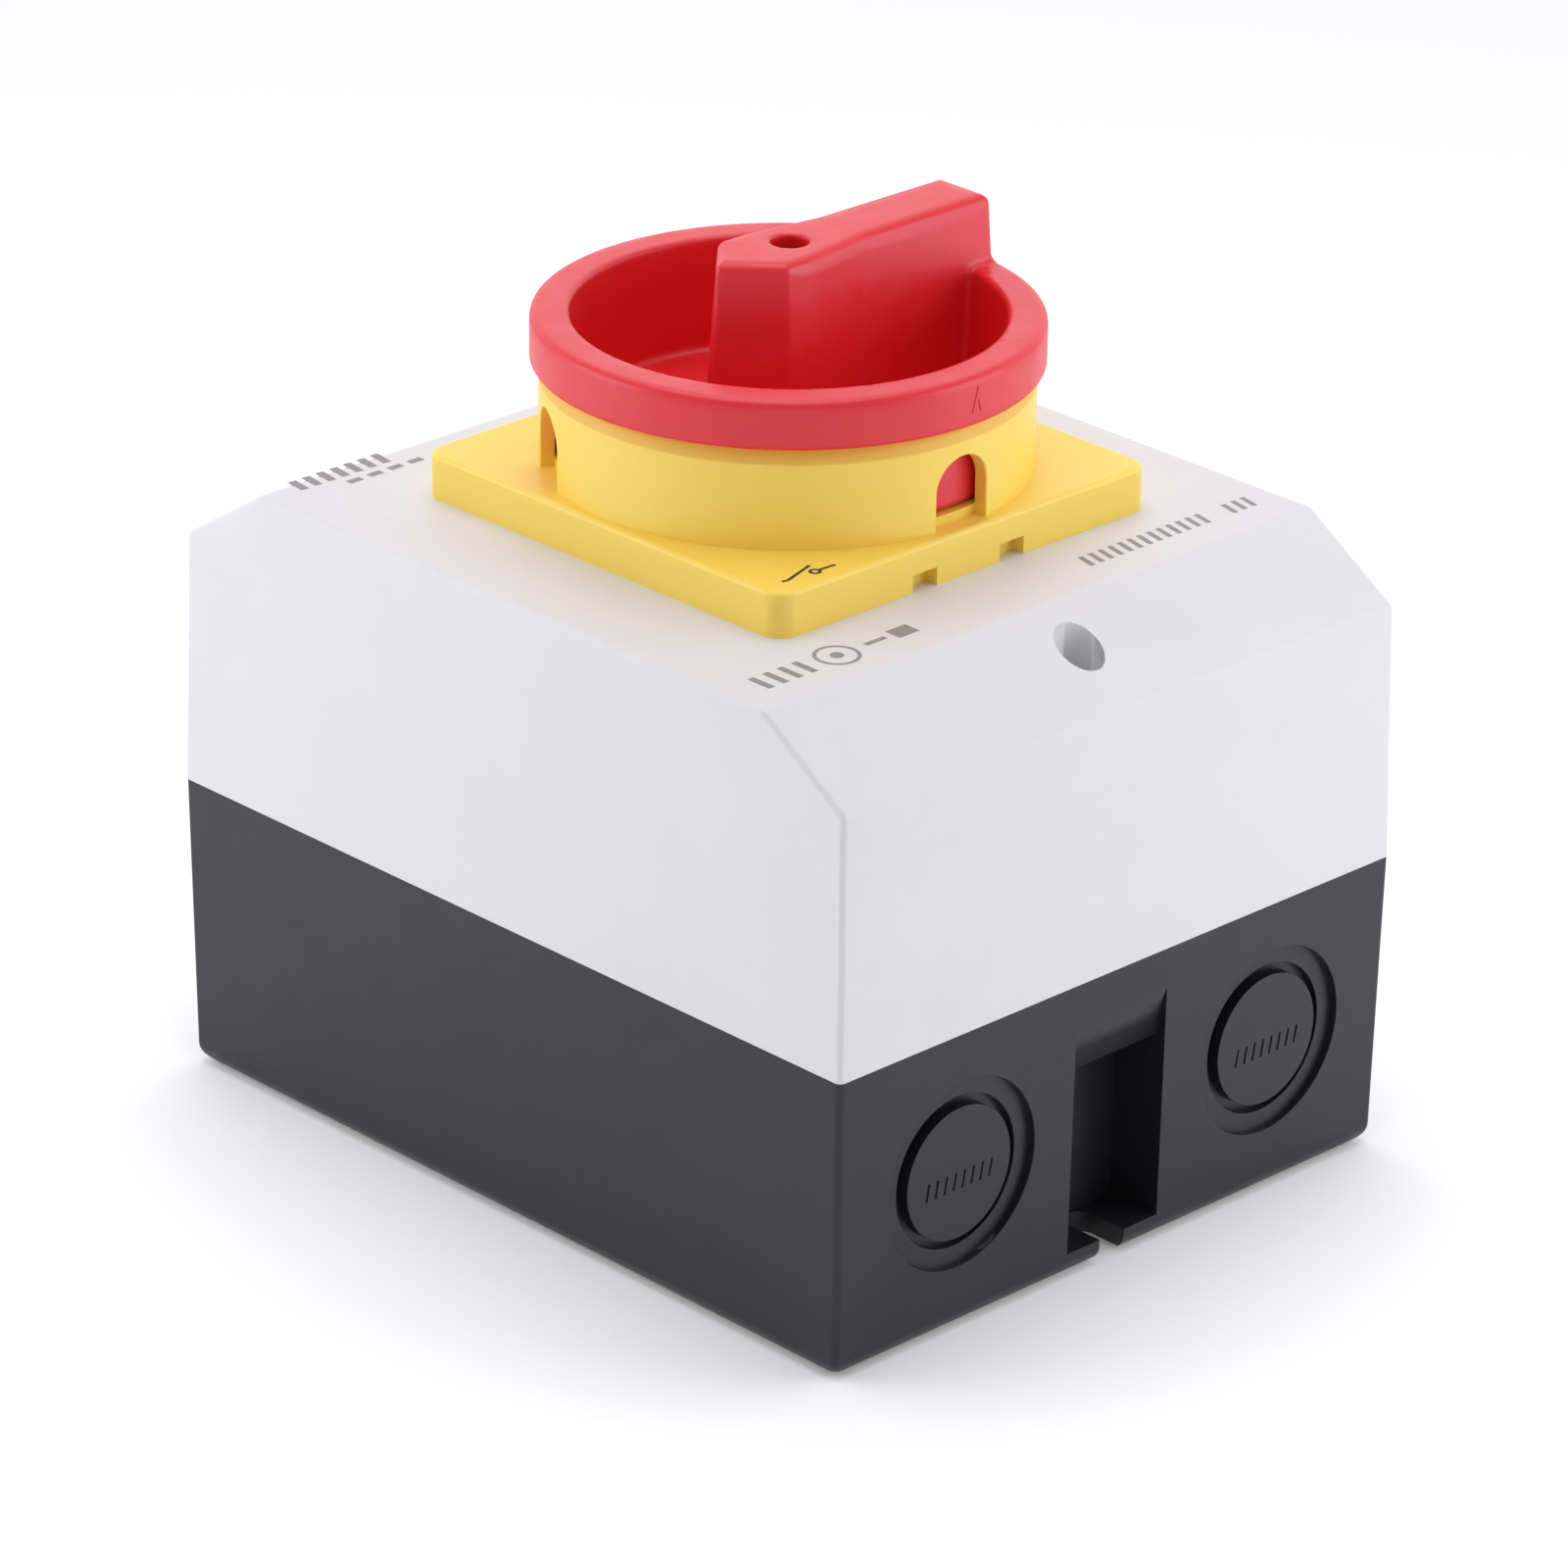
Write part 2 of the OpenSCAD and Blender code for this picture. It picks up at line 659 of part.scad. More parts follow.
// The cam's radius grows evenly over the handle's turn, so the carrier moves evenly too
module cam(i) {
    lift = contact_travel;
    back_angle = 200;
    rising = [for (a = [0:-5:-handle_turn]) [a, cam_low_r - lift * a / handle_turn]];
    dwell = [for (a = [-handle_turn - 5:-5:-handle_turn - 15]) [a, cam_low_r + lift]];
    falling = [for (a = [-125:-5:-back_angle])
        [a, cam_low_r + lift * (0.5 + 0.5 * cos((a + 105) * 180 / 95))]];
    low = [for (a = [-back_angle - 5:-5:-355]) [a, cam_low_r]];
    color("#d8d2c0") translate([0, 0, chamber_z(i) + cam_z[0]]) difference() {
        linear_extrude(cam_z[1] - cam_z[0])
            polygon([for (p = concat(rising, dwell, falling, low)) p[1] * [cos(p[0]), sin(p[0])]]);
        square_bar(socket_w, -1, 20);
    }
}

module contact_carrier(i) {
    nose_r = 1.2;
    nose_x = cam_low_r + 0.1;
    color("#d8d2c0") translate([0, 0, chamber_z(i)]) difference() {
        translate([0, 0, carrier_z[0]]) linear_extrude(carrier_z[1] - carrier_z[0]) {
            polygon([[nose_x + nose_r, -nose_r], [nose_x + 3.5, -carrier_half_w],
                [carrier_back, -carrier_half_w], [carrier_back, carrier_half_w],
                [nose_x + 3.5, carrier_half_w], [nose_x + nose_r, nose_r]]);
            translate([nose_x + nose_r, 0]) circle(nose_r);
        }
        block([bridge_x[0], -10, bridge_z[0] - 0.05], [bridge_x[1] + 0.1, 10, bridge_z[1] + 0.05]);
        translate([carrier_back - 1.2, 0, terminal_z]) rotate([0, 90, 0]) cylinder(r = 3.1, h = 4);
    }
}

module contact_bridge(i) {
    color("#c98a4e") translate([0, 0, chamber_z(i)]) {
        block([bridge_x[0] + 0.05, -bridge_half_l, bridge_z[0]], [bridge_x[1], bridge_half_l, bridge_z[1]]);
        for (s = [-1, 1]) translate([tip_x + 0.05, s * tip_y, terminal_z])
            rotate([0, 90, 0]) cylinder(r = 1.9, h = bridge_x[0] + 0.5 - tip_x);
    }
}

// Helical wire along X, from x0 to x1
module coil(x0, x1, coil_r, wire_r, turns) {
    sides = 6;
    steps = 14 * turns;
    function point(k, j) = let (a = 360 * turns * k / steps, b = 360 * j / sides,
        r = coil_r + wire_r * cos(b))
        [x0 + (x1 - x0) * k / steps + wire_r * sin(b), r * cos(a), r * sin(a)];
    points = [for (k = [0:steps], j = [0:sides - 1]) point(k, j)];
    walls = [for (k = [0:steps - 1], j = [0:sides - 1]) let (n = (j + 1) % sides)
        [k * sides + j, k * sides + n, (k + 1) * sides + n, (k + 1) * sides + j]];
    first = [[for (j = [sides - 1:-1:0]) j]];
    last = [[for (j = [0:sides - 1]) steps * sides + j]];
    polyhedron(points, concat(walls, first, last));
}

module contact_spring(i) {
    wire_r = 0.35;
    color("#9a9ca0") translate([0, 0, chamber_z(i) + terminal_z])
        coil(carrier_back - 1.2 + wire_r, spring_seat_x - wire_r - 0.05, 2.5, wire_r, 5);
}

// Fixed contact of one pole on the -Y side: contact tip, strip and terminal tab
module fixed_contact(i) {
    tab_y = -chamber_l / 2 - 0.1;
    color("#c98a4e") translate([0, 0, chamber_z(i)]) difference() {
        union() {
            block([strip_x[0], tab_y - 1.4, strip_z[0]], [strip_x[1], -11, strip_z[1]]);
            block([terminal_x - 5, tab_y - 1.4, strip_z[0]], [strip_x[1], tab_y, strip_z[1]]);
            translate([strip_x[0] + 0.5, -tip_y, terminal_z]) rotate([0, 90, 0])
                cylinder(r = 1.9, h = tip_x - strip_x[0] - 0.5);
        }
        translate([terminal_x, tab_y + 2, terminal_z]) rotate([90, 0, 0]) cylinder(r = 1.75, h = 6);
    }
}

module line_contact(i) {
    fixed_contact(i);
}

module load_contact(i) {
    mirror([0, 1, 0]) fixed_contact(i);
}

module at_terminals() {
    for (i = [1:poles]) at_both_ends()
        translate([terminal_x, -chamber_l / 2 - 1.5, chamber_z(i) + terminal_z]) rotate([90, 0, 0])
            children();
}

module terminal_clamps() {
    color("#b9bcc0") at_terminals() translate([0, 0, 1.6]) difference() {
        block([-4, -2.9, 0], [4, 2.9, 1.2]);
        translate([0, 0, -1]) cylinder(r = 1.85, h = 4);
        for (y = [-2.2, 2.2]) translate([-5, y, 0]) rotate([0, 90, 0]) cylinder(r = 0.4, h = 10);
    }
}

module terminal_screws() {
    color("#c9cbce") at_terminals() translate([0, 0, 2.8]) screw(1.7, 6, 2.8, 1.8);
}

// -------------------------------------------------------- detent and stops

module detent_housing() {
    color("#2f2f33") difference() {
        rounded_plate(chamber_w, chamber_l, corner_r, detent_z, lid_z);
        translate([0, 0, detent_z - 1]) cylinder(r = 4.8, h = detent_h);
        translate([0, 0, detent_z + 1.6]) cylinder(r = 17, h = detent_h);
        for (x = [-leaf_x, leaf_x]) block([x - leaf_t, -leaf_half_l - 0.2, detent_z + 2.3],
            [x + leaf_t, leaf_half_l + 0.2, lid_z + 1]);
        at_diagonal() translate([0, 0, detent_z - 1]) cylinder(r = 2.1, h = detent_h + 2);
    }
}

// Square wheel: its flats rest on the two leaf springs at each quarter turn
module detent_wheel() {
    color("#d8d2c0") difference() {
        translate([0, 0, detent_z + 2.5]) linear_extrude(5) intersection() {
            square(2 * wheel_half, center = true);
            circle(wheel_corner_r);
        }
        square_bar(socket_w, detent_z - 1, lid_z);
    }
}

module detent_springs() {
    color("#9a9ca0") for (s = [-1, 1]) translate([s * leaf_x, 0, 0])
        block([-leaf_t / 2, -leaf_half_l, detent_z + 2.6], [leaf_t / 2, leaf_half_l, detent_z + 7.4]);
}

module stop_disc() {
    color("#8f9296") difference() {
        union() {
            translate([0, 0, detent_z + 7.9]) cylinder(r = 8, h = 3);
            translate([0, 0, detent_z + 8]) cylinder(r = 5, h = lid_z + lid_t + 0.5 - detent_z - 8);
            rotate(180) sector(6, 14, stop_tab_half, detent_z + 7.9, detent_z + 10.9);
        }
        square_bar(socket_w, detent_z, lid_z + 10);
    }
}

module switch_top_plate() {
    beside = stop_tab_half + stop_lug_half + stop_clearance;
    color("#2f2f33") difference() {
        union() {
            rounded_plate(chamber_w, chamber_l, corner_r, lid_z, lid_z + lid_t);
            for (a = [180 - beside, 180 + handle_turn + beside])
                rotate(a) sector(10, 15, stop_lug_half, detent_z + 8.2, lid_z + 1);
        }
        translate([0, 0, lid_z - 1]) cylinder(r = 5.06, h = 10);
        at_diagonal() cylinder(r = 2.1, h = 100);
    }
}

module tie_bolts() {
    color("#c9cbce") at_diagonal() translate([0, 0, lid_z + lid_t])
        screw(tie_bolt_r, lid_z + lid_t - base_z - 0.4, 3.4, 2.4);
}

module tie_bolt_nuts() {
    color("#c9cbce") at_diagonal() translate([0, 0, base_z + 0.1]) difference() {
        cylinder(r = 4, h = 3, $fn = 6);
        translate([0, 0, -1]) cylinder(r = tie_bolt_r + 0.05, h = 5);
    }
}

module switch_shaft() {
    color("#a9acb0") {
        square_bar(shaft_w, stack_z + 0.3, shaft_split_z - 0.5);
        translate([0, 0, base_z + 1.3]) cylinder(r = 2.5, h = base_t);
    }
}

// ------------------------------------------------------------ terminal bars

module terminal_bar(x) {
    wire_r = 2.1;
    color("#c8a24a") difference() {
        block([x - bar_w / 2, -bar_l / 2, mount_z], [x + bar_w / 2, bar_l / 2, mount_z + bar_h]);
        for (y = [-bar_end_y, bar_end_y]) translate([x, y, 0]) cylinder(r = 1.75, h = 40);
        for (y = [-bar_screw_pitch / 2, bar_screw_pitch / 2]) translate([x, y, 0]) {
            translate([0, 0, mount_z + bar_h / 2]) cylinder(r = 1.85, h = 10);
            translate([-10, 0, mount_z + bar_h / 2]) rotate([0, 90, 0]) cylinder(r = wire_r, h = 20);
        }
    }
}

module earth_bar() {
    terminal_bar(-bar_x);
}

module neutral_bar() {
    terminal_bar(bar_x);
}

module bar_clamp_screws() {
    color("#c9cbce") for (x = [-bar_x, bar_x], y = [-bar_screw_pitch / 2, bar_screw_pitch / 2])
        translate([x, y, mount_z + bar_h + 0.6]) screw(1.8, 3.6, 2.8, 1.8);
}

module bar_fixing_screws() {
    color("#c9cbce") for (x = [-bar_x, bar_x], y = [-bar_end_y, bar_end_y])
        translate([x, y, mount_z + bar_h]) screw(1.45, 12, 2.8, 2);
}

base_enclosure();
cover();
cover_gasket();
cover_screws();
cover_screw_seals();
escutcheon_plate();
escutcheon_seal();
escutcheon_screws();
handle();
handle_screw();
handle_seal();
handle_retaining_ring();
handle_shaft();
shaft_coupling();
coupling_set_screw();
mounting_plate();
mounting_plate_screws();
switch_base();
switch_fixing_screws();
contact_chamber(1);  // contact_chamber_1
contact_chamber(2);  // contact_chamber_2
contact_chamber(3);  // contact_chamber_3
cam(1);  // cam_1
cam(2);  // cam_2
cam(3);  // cam_3
contact_carrier(1);  // contact_carrier_1
contact_carrier(2);  // contact_carrier_2
contact_carrier(3);  // contact_carrier_3
contact_bridge(1);  // contact_bridge_1
contact_bridge(2);  // contact_bridge_2
contact_bridge(3);  // contact_bridge_3
contact_spring(1);  // contact_spring_1
contact_spring(2);  // contact_spring_2
contact_spring(3);  // contact_spring_3
line_contact(1);  // line_contact_1
line_contact(2);  // line_contact_2
line_contact(3);  // line_contact_3
load_contact(1);  // load_contact_1
load_contact(2);  // load_contact_2
load_contact(3);  // load_contact_3
terminal_clamps();
terminal_screws();
detent_housing();
detent_wheel();
detent_springs();
stop_disc();
switch_top_plate();
tie_bolts();
tie_bolt_nuts();
switch_shaft();
earth_bar();
neutral_bar();
bar_clamp_screws();
bar_fixing_screws();
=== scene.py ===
"""Looks of the padlockable rotary isolator switch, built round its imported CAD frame.

Shapes are worked out in millimetres, in the CAD's own frame, and turned into metres when a mesh is made.
"""

import math

import bmesh
import bpy
import numpy as np
import openvdb as vdb
from mathutils import Matrix, Vector


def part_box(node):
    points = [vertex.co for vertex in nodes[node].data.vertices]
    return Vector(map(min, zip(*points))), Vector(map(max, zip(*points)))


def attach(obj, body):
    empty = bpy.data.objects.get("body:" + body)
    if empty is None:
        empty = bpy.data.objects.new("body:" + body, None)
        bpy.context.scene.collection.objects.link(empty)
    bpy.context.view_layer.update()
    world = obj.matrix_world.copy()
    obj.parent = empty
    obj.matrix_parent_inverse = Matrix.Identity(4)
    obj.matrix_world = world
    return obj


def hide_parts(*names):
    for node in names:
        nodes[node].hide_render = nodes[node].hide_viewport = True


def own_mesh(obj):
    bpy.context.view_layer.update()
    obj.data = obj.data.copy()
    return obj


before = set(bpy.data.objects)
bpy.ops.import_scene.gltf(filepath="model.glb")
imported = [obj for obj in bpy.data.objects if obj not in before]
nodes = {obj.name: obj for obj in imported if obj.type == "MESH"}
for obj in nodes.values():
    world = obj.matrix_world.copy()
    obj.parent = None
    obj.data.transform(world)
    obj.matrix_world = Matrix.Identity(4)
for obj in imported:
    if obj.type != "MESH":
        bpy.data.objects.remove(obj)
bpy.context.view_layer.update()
MM = 0.001


def box_mm(node):
    """Lowest and highest corner of a CAD node, in millimetres."""
    low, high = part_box(node)
    return np.array(low) / MM, np.array(high) / MM


base_high = box_mm("base_enclosure")[1]
cover_high = box_mm("cover")[1]
plate_low, plate_high = box_mm("escutcheon_plate")
handle_low, handle_high = box_mm("handle")

# Heights and reaches that the boxes give
JOINT_Z = base_high[2]
TOP_Z = cover_high[2]
PLATE_HALF = plate_high[0]
SPIGOT_Z = plate_low[2]
COLLAR_TOP_Z = plate_high[2]
GRIP_TOP_Z = handle_high[2]
HUB_Z = handle_low[2]
RING_R = handle_high[1]

# Escutcheon
PLATE_T = 6.0
PLATE_Z = TOP_Z + PLATE_T
PLATE_CORNER_R = 2.8
PLATE_EDGE_R = 0.7
SILL_Z = PLATE_Z + 1.25
COLLAR_R = 31.35
COLLAR_INNER_R = 29.4
COLLAR_CHAMFER = (1.3, 1.8)
COLLAR_EDGE_R = 0.3
BEARING_R = 9.05
SPIGOT_R = 11.5
WINDOW_HALF = 4.3
WINDOW_TOP_Z = 99.8
WINDOW_ANGLES = (270, 152, 28)
WINDOW_EDGE_R = 0.3
NOTCH_X = 7.6
NOTCH_HALF = 2.1
NOTCH_DEPTH = 1.8
NOTCH_H = 2.4
ESCUTCHEON_SCREW_AT = 24.0
ESCUTCHEON_SCREW_R = 1.95
SEAL_HALF = 29.0
SEAL_W = 2.0
SEAL_T = 1.2

# Handle
RING_Z = (103.9, 110.4)
RING_EDGE_R = 1.15
CUP_R = 27.5
CUP_FLOOR_R = 26.0
CUP_FLOOR_Z = 95.6
CUP_FLOOR_T = 2.5
SKIRT_R = 28.8
SKIRT_Z = 92.1
HUB_R = 9.0
GROOVE_R = 7.3
RETAINING_GROOVE_Z = (79.6, 80.8)
SEAL_GROOVE_Z = (86.0, 88.2)
GRIP_HALF = 4.5
GRIP_REACH = 31.0
BOSS_HALF = 6.25
TAIL_REACH = 12.6
GRIP_DRAFT = 0.065
GRIP_EDGE_R = 1.3
GRIP_FILLET = 1.0
SCREW_HOLE_R = 2.45
SCREW_SEAT_Z = 106.0
SHAFT_TOP_Z = 104.2
SOCKET_HALF = 3.0
SHACKLE_R = 3.1
SHACKLE_ANGLES = (180, 59, -59)
SHACKLE_X = 29.0
SHACKLE_TILT = math.radians(35)
GRIP_BOSS_END_X = -2
GRIP_NECK = (9, GRIP_HALF + 0.1)
GRIP_BEND_R = 12

# Knockouts and the rounding of cover and base edges; the wall pocket and cover screw access stay as the CAD
# meshes have them
KNOCKOUT_X = 27.6
KNOCKOUT_Z = 21.4
KNOCKOUT_OUTER_R = 12.8
KNOCKOUT_RECESS = 1.25
KNOCKOUT_EDGE_R = 0.12
COVER_EDGE_R = 0.8
BASE_CORNER_R = 0.9
KNOCKOUT_DISC_DEPTH = 0.65

# Marks: all are plain shapes that say nothing
PRINT_T = 0.02
PRINT_ROOT = 0.05
RINGED_DOT_AT = (-30.0, -40.0)
# Rows of strokes on the cover: left, right, low, high, pitch, width, lean
STROKE_ROWS = (
    (-42.6, -35.0, -41.9, -38.1, 2.4, 1.0, 0),
    (13.4, 36, -41.0, -38.0, 1.75, 0.75, 0.7),
    (39.4, 43, -41.0, -38.0, 1.75, 0.75, 0.7),
    (-42.6, -27, 43.6, 46.8, 2.3, 1.2, 0.5),
)
# Bars on the cover: left, right, y, width
BARS = [(-25.2, -21.8, -40, 0.8), (-20.6, -17.2, -40, 2.6)]
BARS += [(x, x + 2.2, 41.7, 1.1) for x in (-37.0, -33.6, -30.2, -26.8)]
ENGRAVED = 0.15
SYMBOL_W = 0.46
RING_MARK_Z = 107.0
RING_MARK_ANGLE = math.radians(-88.3)
RING_MARK_HALF_W = 0.75
RING_MARK_HALF_H = 1.3
RING_MARK_STROKE = 0.4
RING_MARK_T = 0.08

# Contact springs
SPRING_R = 2.5
SPRING_WIRE_R = 0.35
SPRING_TURNS = 6.5


# ------------------------------------------------------------------ shapes as signed distances


class Grid:
    """A box of sample points, in millimetres, on which shapes are held as distances from their surface."""

    def __init__(self, low, high, step):
        self.low, self.step = np.array(low, float), step
        counts = np.ceil((np.array(high) - self.low) / step).astype(int) + 1
        axes = [self.low[i] + step * np.arange(counts[i]) for i in range(3)]
        self.x, self.y, self.z = np.meshgrid(*axes, indexing="ij", sparse=True)

    def radius(self):
        return np.hypot(self.x, self.y)

    def lathe(self, outline):
        """Solid of revolution about Z of an outline of (radius, height) points."""
        fine = 0.05
        radius = self.radius()
        table_r = np.arange(0, radius.max() + 2 * fine, fine)
        table = outline_distance(table_r[:, None], self.z[0, 0][None, :], outline).astype(np.float32)
        place = radius[:, :, 0] / fine
        row = place.astype(int)
        share = (place - row)[:, :, None].astype(np.float32)
        return table[row] * (1 - share) + table[row + 1] * share

    def tube(self, centre, direction, radius):
        """Endless cylinder through a point."""
        d = np.array(direction, float)
        d /= np.linalg.norm(d)
        x, y, z = self.x - centre[0], self.y - centre[1], self.z - centre[2]
        along = x * d[0] + y * d[1] + z * d[2]
        return np.sqrt(np.maximum(x * x + y * y + z * z - along * along, 0)) - radius

    def block(self, low, high):
        x = np.maximum(low[0] - self.x, self.x - high[0])
        y = np.maximum(low[1] - self.y, self.y - high[1])
        z = np.maximum(low[2] - self.z, self.z - high[2])
        return np.maximum(np.maximum(x, y), z)


def outline_distance(x, y, outline):
    """Signed distance from points to a closed outline, below zero inside it."""
    shape = np.broadcast(x, y).shape
    nearest = np.full(shape, np.inf)
    inside = np.zeros(shape, bool)
    for (x0, y0), (x1, y1) in zip(outline, np.roll(outline, -1, axis=0)):
        dx, dy = x1 - x0, y1 - y0
        t = np.clip(((x - x0) * dx + (y - y0) * dy) / max(dx * dx + dy * dy, 1e-12), 0, 1)
        nearest = np.minimum(nearest, (x - x0 - t * dx) ** 2 + (y - y0 - t * dy) ** 2)
        if dy != 0:
            inside ^= ((y0 > y) != (y1 > y)) & (x < x0 + (y - y0) * dx / dy)
    return np.where(inside, -1, 1) * np.sqrt(nearest)


def rounded_outline(corners, steps=8):
    """Closed outline through corners (x, y, radius), each rounded to its radius."""
    points = []
    for i, (x, y, radius) in enumerate(corners):
        corner = np.array((x, y), float)
        if radius == 0:
            points.append(corner)
            continue
        to_last = np.array(corners[i - 1][:2]) - corner
        to_next = np.array(corners[(i + 1) % len(corners)][:2]) - corner
        a, b = to_last / np.linalg.norm(to_last), to_next / np.linalg.norm(to_next)
        half = math.acos(np.clip(a @ b, -1, 1)) / 2
        centre = corner + (a + b) / np.linalg.norm(a + b) * radius / math.sin(half)
        start = corner + a * radius / math.tan(half) - centre
        end = corner + b * radius / math.tan(half) - centre
        sweep = math.atan2(start[0] * end[1] - start[1] * end[0], start @ end)
        first = math.atan2(start[1], start[0])
        for k in range(steps + 1):
            turn = first + sweep * k / steps
            points.append(centre + radius * np.array((math.cos(turn), math.sin(turn))))
    return np.array(points)


def join(a, b, fillet=0.0):
    """Union of two shapes, with a fillet along the corner where they meet."""
    if fillet == 0:
        return np.minimum(a, b)
    near = np.hypot(np.maximum(fillet - a, 0), np.maximum(fillet - b, 0))
    return np.maximum(fillet, np.minimum(a, b)) - near


def overlap(a, b, edge=0.0):
    """What two shapes share, with its new edges rounded."""
    return -join(-a, -b, edge)


def cut(a, b, edge=0.0):
    """Shape a without shape b, with the new edges rounded."""
    return overlap(a, -b, edge)


def sample(grid, field, points):
    """Field's value at points in millimetres, interpolated between the grid's points."""
    place = np.clip((points - grid.low) / grid.step, 0, np.array(field.shape) - 1.001)
    i = place.astype(int)
    f = place - i
    total = np.zeros(len(points))
    for dx in (0, 1):
        for dy in (0, 1):
            for dz in (0, 1):
                share = (np.abs(1 - dx - f[:, 0]) * np.abs(1 - dy - f[:, 1]) * np.abs(1 - dz - f[:, 2]))
                total += share * field[i[:, 0] + dx, i[:, 1] + dy, i[:, 2] + dz]
    return total


def slopes(grid, field, points):
    """Unit normals of the field at points."""
    reach = 0.6 * grid.step
    columns = []
    for axis in np.eye(3):
        ahead, behind = points + axis * reach, points - axis * reach
        columns.append(sample(grid, field, ahead) - sample(grid, field, behind))
    normals = np.stack(columns, axis=1)
    return normals / np.maximum(np.linalg.norm(normals, axis=1, keepdims=True), 1e-9)


def surface(name, grid, field, adaptivity):
    """Mesh object on the field's zero level, with the field's own slopes as its normals."""
    band = 4 * grid.step
    volume = vdb.FloatGrid(background=band)
    volume.copyFromArray(np.ascontiguousarray(np.clip(field, -band, band), dtype=np.float32))
    points, triangles, quads = volume.convertToPolygons(isovalue=0.0, adaptivity=adaptivity)
    places = grid.low + points.astype(float) * grid.step
    faces = [tuple(int(i) for i in f) for group in (triangles, quads) for f in group]
    mesh = bpy.data.meshes.new(name)
    mesh.from_pydata([tuple(p) for p in places * MM], [], faces)
    mesh.validate()
    mesh.shade_smooth()
    normals = slopes(grid, field, np.array([v.co for v in mesh.vertices], float) / MM)
    mesh.normals_split_custom_set_from_vertices([tuple(n) for n in normals])
    return placed(name, mesh)


# ------------------------------------------------------------------ mesh helpers


def placed(name, mesh):
    piece = bpy.data.objects.new(name, mesh)
    bpy.context.scene.collection.objects.link(piece)
    return piece


def stands_for(piece, body, slot, *replaced):
    """The piece rides on a body, takes its material slot's finish and stands for CAD nodes."""
    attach(piece, body)
    piece.data.materials.clear()
    piece.data.materials.append(FINISHES[slot])
    if replaced:
        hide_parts(*replaced)
    return piece


# ------------------------------------------------------------------ materials

WHITE = (1, 1, 1)
GLOSS_CHANGE = 0.04


def node_material(name):
    material = bpy.data.materials.new(name)
    material.use_nodes = True
    tree = material.node_tree
    shader = next(n for n in tree.nodes if n.type == "BSDF_PRINCIPLED")
    coordinates = tree.nodes.new("ShaderNodeTexCoord")
    return material, tree, shader, coordinates.outputs["Object"]


def noise(tree, vector, size, detail=3.0, rough=0.55):
    """Noise with features of a size in millimetres."""
    texture = tree.nodes.new("ShaderNodeTexNoise")
    texture.inputs["Scale"].default_value = 1 / (size * MM)
    texture.inputs["Detail"].default_value = detail
    texture.inputs["Roughness"].default_value = rough
    tree.links.new(vector, texture.inputs["Vector"])
    return texture.outputs["Fac"]


def spread(tree, value, low, high):
    """Maps the middle of a noise's range to low..high."""
    ranged = tree.nodes.new("ShaderNodeMapRange")
    ranged.inputs["From Min"].default_value = 0.3
    ranged.inputs["From Max"].default_value = 0.7
    ranged.inputs["To Min"].default_value = low
    ranged.inputs["To Max"].default_value = high
    tree.links.new(value, ranged.inputs["Value"])
    return ranged.outputs["Result"]


def tint(tree, value, colour_a, colour_b):
    ramp = tree.nodes.new("ShaderNodeValToRGB")
    ramp.color_ramp.elements[0].position = 0.3
    ramp.color_ramp.elements[1].position = 0.7
    ramp.color_ramp.elements[0].color = (*colour_a, 1)
    ramp.color_ramp.elements[1].color = (*colour_b, 1)
    tree.links.new(value, ramp.inputs["Fac"])
    return ramp.outputs["Color"]


def bump(tree, value, height, strength=1.0, under=None):
    """Bump of a height in millimetres."""
    node = tree.nodes.new("ShaderNodeBump")
    node.inputs["Strength"].default_value = strength
    node.inputs["Distance"].default_value = height * MM
    tree.links.new(value, node.inputs["Height"])
    if under is not None:
        tree.links.new(under, node.inputs["Normal"])
    return node.outputs["Normal"]


def moulded(name, colour, roughness, grain, height, variation, specular=0.5, reflection=WHITE):
    """Moulded plastic: a fine grain over a slow waviness, with a little unevenness of gloss and colour."""
    material, tree, shader, place = node_material(name)
    clouds = noise(tree, place, 14, 2)
    fine = noise(tree, place, grain, 4, 0.6)
    darker = tuple(c * (1 - variation) for c in colour)
    lighter = tuple(min(c * (1 + variation), 1) for c in colour)
    tree.links.new(tint(tree, clouds, darker, lighter), shader.inputs["Base Color"])
    rough = noise(tree, place, 5, 3)
    least, most = roughness - GLOSS_CHANGE, roughness + GLOSS_CHANGE
    tree.links.new(spread(tree, rough, least, most), shader.inputs["Roughness"])
    slow = bump(tree, noise(tree, place, 9, 1), 0.02)
    tree.links.new(bump(tree, fine, height, 1.0, slow), shader.inputs["Normal"])
    shader.inputs["Specular IOR Level"].default_value = specular
    shader.inputs["Specular Tint"].default_value = (*reflection, 1)
    return material


def metal(name, colour, roughness, grain=0.25, height=0.003, stretch=(1, 1, 1)):
    """Plated or drawn metal, with marks drawn out along an axis."""
    material, tree, shader, place = node_material(name)
    mapping = tree.nodes.new("ShaderNodeMapping")
    mapping.inputs["Scale"].default_value = stretch
    tree.links.new(place, mapping.inputs["Vector"])
    drawn = mapping.outputs["Vector"]
    darker = tuple(c * 0.86 for c in colour)
    tree.links.new(tint(tree, noise(tree, place, 3, 3), darker, colour), shader.inputs["Base Color"])
    marks = noise(tree, drawn, grain, 4, 0.65)
    tree.links.new(spread(tree, marks, roughness - 0.08, roughness + 0.1), shader.inputs["Roughness"])
    tree.links.new(bump(tree, marks, height), shader.inputs["Normal"])
    shader.inputs["Metallic"].default_value = 1.0
    return material


def rubber(name, colour):
    material, tree, shader, place = node_material(name)
    lighter = tuple(c * 1.5 for c in colour)
    tree.links.new(tint(tree, noise(tree, place, 2, 4), colour, lighter), shader.inputs["Base Color"])
    tree.links.new(spread(tree, noise(tree, place, 0.8), 0.6, 0.8), shader.inputs["Roughness"])
    tree.links.new(bump(tree, noise(tree, place, 0.3), 0.01), shader.inputs["Normal"])
    return material


